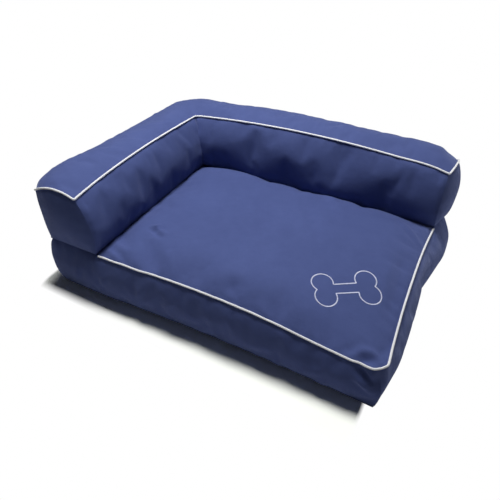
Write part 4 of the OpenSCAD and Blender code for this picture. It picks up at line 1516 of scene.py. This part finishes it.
def slot_stitches(name, length, at, upper, lower):
    """A row of stitches above and below the slot, laid on the cloth."""
    frames = []
    for panel, side in ((upper, 1), (lower, -1)):
        x = np.arange(-length / 2 + ROW_START, length / 2 - ROW_STOP, STITCH_L + STITCH_GAP)
        z = np.full_like(x, side * (HALF_SLOT + STITCH_FROM_SLOT))
        where = (np.stack([x, 0 * x, z], axis=1) + at) * MM
        spots_on, normals = laid_on(cover[panel], where, way=(0, -1, 0))
        frames += frames_along(spots_on + normals * STITCH_SIT * MM, normals, closed=False)
    long_way = np.array([[0, 1, 0], [1, 0, 0], [0, 0, 1]])
    points, faces = stitch_shape(STITCH_L * MM, STITCH_W * MM, STITCH_H * MM)
    return copies(name, (points @ long_way, faces), frames)


ZIPS = [
    ("base_zip", (BASE_ZIP_X, BASE_ZIP_Y, BASE_ZIP_Z), BASE_ZIP_L,
     "mattress_back_upper", "mattress_back_lower"),
    ("back_zip", (BACK_ZIP_X, BACK_ZIP_Y, BACK_ZIP_Z), BACK_ZIP_L, "back_upper", "back_lower"),
]
SLIDER_FROM_END = 6.8
zip_pieces = {"tapes": [], "teeth": [], "stops": [], "slider": [], "pull": []}
sewn = []
for name, at, length, upper, lower in ZIPS:
    at = np.array(at)
    slider_at = at - [length / 2 - SLIDER_FROM_END, 0, 0]
    made = {
        "tapes": (tapes(name + "_woven_tapes", length, at), "root", "zip_tape"),
        "teeth": (coil(name + "_coil", length, at), "root", "zip_teeth"),
        "stops": (end_stops(name + "_end_stops", length, at), "root", "zip_metal"),
        "slider": (placed(slider, name + "_cast_slider", slider_at), name + "_runner",
                   "zip_metal"),
        "pull": (placed(pull, name + "_cast_pull", slider_at), name + "_tab", "zip_metal"),
    }
    for part, (piece, body, slot) in made.items():
        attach(piece, body)
        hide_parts(f"{name}_{part}")
        zip_pieces[part].append(piece)
    stitches = slot_stitches(name + "_stitches", length, at, upper, lower)
    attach(stitches, "root")
    sewn.append(stitches)
for shape in (slider, pull):
    bpy.data.objects.remove(shape)
print("coils:", [len(piece.data.polygons) for piece in zip_pieces["teeth"]], "faces")

# %% [markdown]
# ## Underside
# The bottom cloth keeps the bed in place on smooth floors with small raised dots of rubber.

# %% Grip dots
DOT_STEP, ROW_SHARE, DOT_R, DOT_H, DOT_SIT, DOT_START, DOT_STOP = 22, 0.866, 3.2, 0.55, 0.02, 20, 15
DOT_RINGS = [(1, 0), (0.82, -0.55), (0.45, -1)]


def dot_shape():
    sides, points = 10, []
    for r, z in DOT_RINGS:
        points += [(DOT_R * r * math.cos(2 * math.pi * k / sides),
                    DOT_R * r * math.sin(2 * math.pi * k / sides), DOT_H * z)
                   for k in range(sides)]
    return np.array(points) * MM, ring_faces(len(DOT_RINGS), sides)


dots = []
rows_y = np.arange(-HALF_D + DOT_START, HALF_D - DOT_STOP, DOT_STEP * ROW_SHARE)
for row, dot_y in enumerate(rows_y):
    first_x = -HALF_W + DOT_START + (row % 2) * DOT_STEP / 2
    for dot_x in np.arange(first_x, HALF_W - DOT_STOP, DOT_STEP):
        dots.append((np.array([dot_x, dot_y, FLOOR_GAP + DOT_SIT]) * MM, np.eye(3)))
grip = copies("grip_dots", dot_shape(), dots)
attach(grip, "root")
print("grip dots:", len(dots))

# %% [markdown]
# ## Materials
# Every finish is made of nodes. Cloth reads the grain of its own panel, so the weave follows
# the cut of the cloth. Arithmetic on a signal adds the Math nodes.


# %% Shader arithmetic
class Signal:
    """A value that varies over a surface. Arithmetic on it adds nodes to its material."""

    def __init__(self, finish, socket):
        self.finish, self.socket = finish, socket

    def math(self, operation, *others):
        inputs = dict(enumerate((self,) + others))
        return self.finish.node("ShaderNodeMath", {"operation": operation}, inputs)

    def __add__(self, other):
        return self.math("ADD", other)

    def __sub__(self, other):
        return self.math("SUBTRACT", other)

    def __rsub__(self, other):
        inputs = {0: other, 1: self}
        return self.finish.node("ShaderNodeMath", {"operation": "SUBTRACT"}, inputs)

    def __mul__(self, other):
        return self.math("MULTIPLY", other)

    def __truediv__(self, other):
        return self.math("DIVIDE", other)

    def __pow__(self, other):
        return self.math("POWER", other)

    __radd__ = __add__
    __rmul__ = __mul__

    def sine(self):
        return self.math("SINE")

    def fraction(self):
        return self.math("FRACT")

    def floor(self):
        return self.math("FLOOR")

    def absolute(self):
        return self.math("ABSOLUTE")

    def above(self, least):
        return self.math("MAXIMUM", least)


def colour(red, green, blue):
    """A colour as seen on a screen, 0 to 255, as the shader needs it."""
    def linear(c):
        c /= 255
        return c / 12.92 if c <= 0.04045 else ((c + 0.055) / 1.055) ** 2.4
    return (linear(red), linear(green), linear(blue), 1.0)


class Nodes:
    """A node tree that is built one node at a time."""

    def __init__(self, tree):
        self.tree = tree

    def node(self, kind, settings=None, inputs=None, output=0):
        made = self.tree.nodes.new(kind)
        for key, value in (settings or {}).items():
            setattr(made, key, value)
        for key, value in (inputs or {}).items():
            if isinstance(value, Signal):
                self.tree.links.new(value.socket, made.inputs[key])
            else:
                made.inputs[key].default_value = value
        return Signal(self, made.outputs[output])


class Finish(Nodes):
    """A material with one Principled shader, and the nodes that feed it."""

    def __init__(self, name, **constants):
        self.material = bpy.data.materials.new(name)
        self.material.use_nodes = True
        super().__init__(self.material.node_tree)
        self.shader = self.tree.nodes["Principled BSDF"]
        for socket, value in constants.items():
            self.shader.inputs[socket.replace("_", " ")].default_value = value

    def grain(self):
        return self.node("ShaderNodeUVMap", {"uv_map": "Grain"})

    def place(self):
        return self.node("ShaderNodeTexCoord", output="Object")

    def parts(self, vector):
        split = self.node("ShaderNodeSeparateXYZ", inputs={0: vector})
        return [Signal(self, socket) for socket in split.socket.node.outputs]

    def vector(self, *parts):
        return self.node("ShaderNodeCombineXYZ", inputs=dict(enumerate(parts)))

    def noise(self, scale, vector, detail=2.0, roughness=0.5):
        return self.node("ShaderNodeTexNoise", inputs={
            "Vector": vector, "Scale": scale, "Detail": detail, "Roughness": roughness})

    def mixed(self, share, first, second):
        return self.node("ShaderNodeMix", {"data_type": "RGBA"},
                         {0: share, 6: first, 7: second}, output=2)

    def spread(self, signal, low, high, to_low=0.0, to_high=1.0):
        """Stretches the part of a signal from low to high over a new range, and clips it."""
        return self.node("ShaderNodeMapRange", inputs={
            0: signal, 1: low, 2: high, 3: to_low, 4: to_high})

    def bump(self, height, distance, strength, under=None):
        inputs = {"Height": height, "Distance": distance, "Strength": strength}
        if under is not None:
            inputs["Normal"] = under
        return self.node("ShaderNodeBump", inputs=inputs)

    def feed(self, pieces, tone, dark, light, rough, relief):
        """Feeds the shader and dresses the pieces: tone mixes two colours of 0 to 255."""
        signals = {
            "Base Color": self.mixed(tone, colour(*dark), colour(*light)),
            "Roughness": self.spread(*rough),
            "Normal": self.bump(*relief),
        }
        for socket, signal in signals.items():
            self.tree.links.new(signal.socket, self.shader.inputs[socket])
        for piece in pieces:
            piece.data.materials.clear()
            piece.data.materials.append(self.material)


def weave(finish, pitch, slubs=0.0):
    """The height of a plain weave, and which of its two sets of threads is on top."""
    u, v, _ = finish.parts(finish.grain())
    if slubs:
        drift = finish.noise(60, finish.grain()) * slubs
        u, v = u + drift, v + drift
    u, v = u / pitch, v / pitch
    on_top = ((u.floor() + v.floor()) / 2).fraction() * 2
    warp = (u.fraction() * math.pi).sine()
    weft = (v.fraction() * math.pi).sine()
    height = warp * (weft * 0.45 + 0.55) * on_top + weft * (warp * 0.45 + 0.55) * (1 - on_top)
    return height, on_top


# %% [markdown]
# The cover is Oxford cloth: a dull navy polyester with a plain weave of thick threads. Up
# close, the two sets of threads differ a little. From afar it has faint clouds of light and
# dark, small creases, and a soft sheen where it is seen at a low angle.

# %% Navy Oxford cloth
OXFORD_PITCH, PIPING_PITCH, BOTTOM_PITCH = 0.0011, 0.0007, 0.0009

oxford = Finish("navy_oxford", Specular_IOR_Level=0.15, Sheen_Weight=0.3, Sheen_Roughness=0.4,
                Sheen_Tint=(0.6, 0.68, 1.0, 1.0))
height, on_top = weave(oxford, OXFORD_PITCH, slubs=0.0002)
place = oxford.place()
clouds = oxford.noise(7, place, 3)
mottle = oxford.noise(45, place, 4, 0.6)
u, v, _ = oxford.parts(oxford.grain())
slub = oxford.noise(1.0, oxford.vector(u * 40, v * 900, 0), 2)
tone = on_top * 0.22 + height * 0.28 + clouds * 0.35 + mottle * 0.25 + slub * 0.2
crush = oxford.noise(30, place, 3, 0.55) * 0.75 + oxford.noise(95, place, 2, 0.5) * 0.25
wrinkled = oxford.bump(crush, 0.0022, 0.55)
oxford.feed(cover.values(), oxford.spread(tone, 0.25, 1.0), (62, 73, 121), (83, 97, 151),
            (mottle * 0.6 + height * 0.4, 0.2, 0.9, 0.88, 0.72),
            (height, OXFORD_PITCH * 0.22, 0.55, wrinkled))
print("navy cloth on", len(cover), "panels")

# %% White piping, embroidery thread
white = Finish("white_piping", Specular_IOR_Level=0.4, Sheen_Weight=0.5)
height, _ = weave(white, PIPING_PITCH)
soil = white.noise(60, white.place(), 3)
white.feed([base_piping, bolster_piping], white.spread(soil * 0.7 + height * 0.3, 0.2, 0.8),
           (248, 249, 253), (254, 254, 255), (height, 0, 1, 0.85, 0.7), (height, 0.00018, 0.6))
rayon = Finish("pale_rayon_thread", Specular_IOR_Level=0.5, Sheen_Weight=0.25,
               Anisotropic=0.3)
x, y, z = rayon.parts(rayon.place())
strand = (x * 2300 + y * 3100 + z * 900).sine() * 0.5 + 0.5
rayon.feed([bed, bone], strand * 0.7, (214, 218, 244), (238, 240, 254),
           (strand, 0, 1, 0.5, 0.38), (strand, 0.00012, 0.5))
print("piping and thread are done")

# %% Foam, fibre, bottom cloth, rubber
cream = Finish("cream_foam", Specular_IOR_Level=0.2)
cells = cream.node("ShaderNodeTexVoronoi", {"feature": "F1"},
                   {"Vector": cream.place(), "Scale": 900})
tint = cream.noise(25, cream.place(), 3)
cream.feed([foam], cells * 0.5 + tint * 0.5, (214, 196, 142), (240, 228, 184),
           (tint, 0.3, 0.7, 0.85, 0.95), (cells, 0.0006, 0.8))
fluff = Finish("white_fibre", Specular_IOR_Level=0.2, Sheen_Weight=0.4)
tufts = fluff.noise(70, fluff.place(), 8, 0.7)
hair = fluff.noise(600, fluff.place(), 3, 0.6)
fluff.feed([wadding, arm_fibre, back_fibre], tufts * 0.6 + hair * 0.4, (214, 215, 212),
           (248, 248, 246), (hair, 0.3, 0.7, 0.8, 0.95), (tufts * 0.7 + hair * 0.3, 0.003, 0.8))
charcoal = Finish("charcoal_bottom_cloth", Specular_IOR_Level=0.25)
height, _ = weave(charcoal, BOTTOM_PITCH)
dust = charcoal.noise(20, charcoal.place(), 4)
charcoal.feed([cover["bottom_cloth"]], dust * 0.6 + height * 0.4, (38, 40, 48), (58, 60, 70),
              (dust, 0.3, 0.7, 0.75, 0.9), (height, 0.0002, 0.6))
rubber = Finish("grey_rubber", Specular_IOR_Level=0.4)
wear = rubber.noise(150, rubber.place(), 4)
rubber.feed([grip], wear, (62, 64, 70), (92, 94, 100), (wear, 0.3, 0.7, 0.45, 0.65),
            (wear, 0.0002, 0.4))
print("stuffing and underside are done")

# %% Zip finishes
nickel = Finish("satin_nickel", Metallic=1.0)
scratches = nickel.noise(1.0, nickel.node("ShaderNodeMapping", inputs={
    "Vector": nickel.place(), "Scale": (90, 2500, 2500)}), 3)
nickel.feed(zip_pieces["stops"] + zip_pieces["slider"] + zip_pieces["pull"],
            nickel.noise(300, nickel.place(), 3), (150, 150, 150), (196, 196, 194),
            (scratches, 0.3, 0.7, 0.24, 0.42), (scratches, 0.00004, 0.5))
nylon = Finish("navy_nylon", Specular_IOR_Level=0.5)
haze = nylon.noise(400, nylon.place(), 2)
nylon.feed(zip_pieces["teeth"], haze, (30, 35, 66), (48, 55, 96), (haze, 0.3, 0.7, 0.35, 0.5),
           (haze, 0.0001, 0.4))
tape = Finish("navy_zip_tape", Specular_IOR_Level=0.25, Sheen_Weight=0.2)
x, _, z = tape.parts(tape.place())
twill = ((x + z) * (2 * math.pi / 0.0012)).sine() * 0.5 + 0.5
ribs = (z * (2 * math.pi / 0.0007)).sine() * 0.5 + 0.5
woven = twill * 0.6 + ribs * 0.4
tape.feed(zip_pieces["tapes"], woven, (28, 32, 62), (46, 53, 96), (twill, 0, 1, 0.85, 0.7),
          (woven, 0.00015, 0.7))
sewing = Finish("navy_thread", Specular_IOR_Level=0.4, Sheen_Weight=0.2)
x, _, z = sewing.parts(sewing.place())
strand = (x * 5200 + z * 2600).sine() * 0.5 + 0.5
sewing.feed(sewn, strand, (44, 52, 96), (78, 90, 146), (strand, 0, 1, 0.7, 0.5),
            (strand, 0.00012, 0.5))
print("zip finishes are done")

# %% [markdown]
# ## Studio
# The light is one soft panel overhead, on the arm's side, a weak one low on the right and a
# weak even sky. Around the bed the floor is a matt surface that keeps the shadow. A little
# farther away it glows white to the camera, like a paper backdrop that is lit from behind.

# %% Floor, light and sky
LAMPS = [("soft_panel", (-0.22, 0.1, 1.6), 0.55, 24), ("side_fill", (1.3, 0.75, 0.3), 0.5, 3.5)]
SKY_STRENGTH = 0.015
SHADOW_FROM, SHADOW_TO, SHADOW_SHIFT = 0.04, 0.08, 0.035
SIDE_FADE, FRONT_FADE, FRONT_LEAN = 5, 1.2, 1.1

bpy.ops.mesh.primitive_plane_add(size=30, location=(0, 0, 0))
floor = bpy.context.object
floor.name = "floor"


def white_floor():
    """Dull to the light that it throws back, brighter to the camera, and white far off."""
    paper = Finish("white_floor")
    paper.tree.nodes.remove(paper.shader)
    matt = paper.node("ShaderNodeBsdfDiffuse", inputs={"Color": (0.72, 0.735, 0.68, 1)})
    bright = paper.node("ShaderNodeAddShader", inputs={0: matt, 1: matt})
    dull = paper.node("ShaderNodeBsdfDiffuse", inputs={"Color": (0.8, 0.8, 0.8, 1)})
    glow = paper.node("ShaderNodeEmission", inputs={"Color": (1, 1, 1, 1)})
    x, y, _ = paper.parts(paper.place())
    past_x = ((x + SHADOW_SHIFT).absolute() - HALF_W * MM).above(0) * SIDE_FADE
    past_y = (y.absolute() - HALF_D * MM).above(0) * (FRONT_FADE - x * FRONT_LEAN)
    away = (past_x * past_x + past_y * past_y) ** 0.5
    backdrop = paper.spread(away, SHADOW_FROM, SHADOW_TO)
    seen = paper.node("ShaderNodeMixShader", inputs={0: backdrop, 1: bright, 2: glow})
    direct = paper.node("ShaderNodeLightPath")
    both = paper.node("ShaderNodeMixShader", inputs={0: direct, 1: dull, 2: seen})
    out = paper.tree.nodes["Material Output"]
    paper.tree.links.new(both.socket, out.inputs["Surface"])
    return paper.material


floor.data.materials.append(white_floor())

for name, at, size, power in LAMPS:
    bpy.ops.object.light_add(type="AREA", location=at)
    lamp = bpy.context.object
    lamp.name = name
    lamp.data.shape = "DISK"
    lamp.data.size = size
    lamp.data.energy = power
    lamp.visible_camera = False
    way = Vector((at[0] / 4, at[1] / 4, 0.15)) - lamp.location
    lamp.rotation_euler = way.to_track_quat("-Z", "Y").to_euler()

world = bpy.data.worlds.new("studio")
scene.world = world
world.use_nodes = True
world.node_tree.nodes.clear()
studio = Nodes(world.node_tree)
rays = studio.node("ShaderNodeLightPath").socket.node.outputs
seen = Signal(studio, rays["Is Camera Ray"])
for kind in ("Is Glossy Ray", "Is Transmission Ray"):
    seen = seen.above(Signal(studio, rays[kind]))
sky = studio.node("ShaderNodeBackground", inputs={
    "Color": (0.9, 0.95, 1.0, 1), "Strength": SKY_STRENGTH})
paper_white = studio.node("ShaderNodeBackground", inputs={
    "Color": (1, 1, 1, 1), "Strength": 1.0})
choice = studio.node("ShaderNodeMixShader", inputs={0: seen, 1: sky, 2: paper_white})
out = studio.tree.nodes.new("ShaderNodeOutputWorld")
studio.tree.links.new(choice.socket, out.inputs["Surface"])
scene.view_settings.view_transform = "Standard"
print("studio is ready")

# %% [markdown]
# The two cushions that shaped the cloth have done their work, and are removed.

# %% Finish
for shaping in (mattress, bolster):
    bpy.data.objects.remove(shaping)
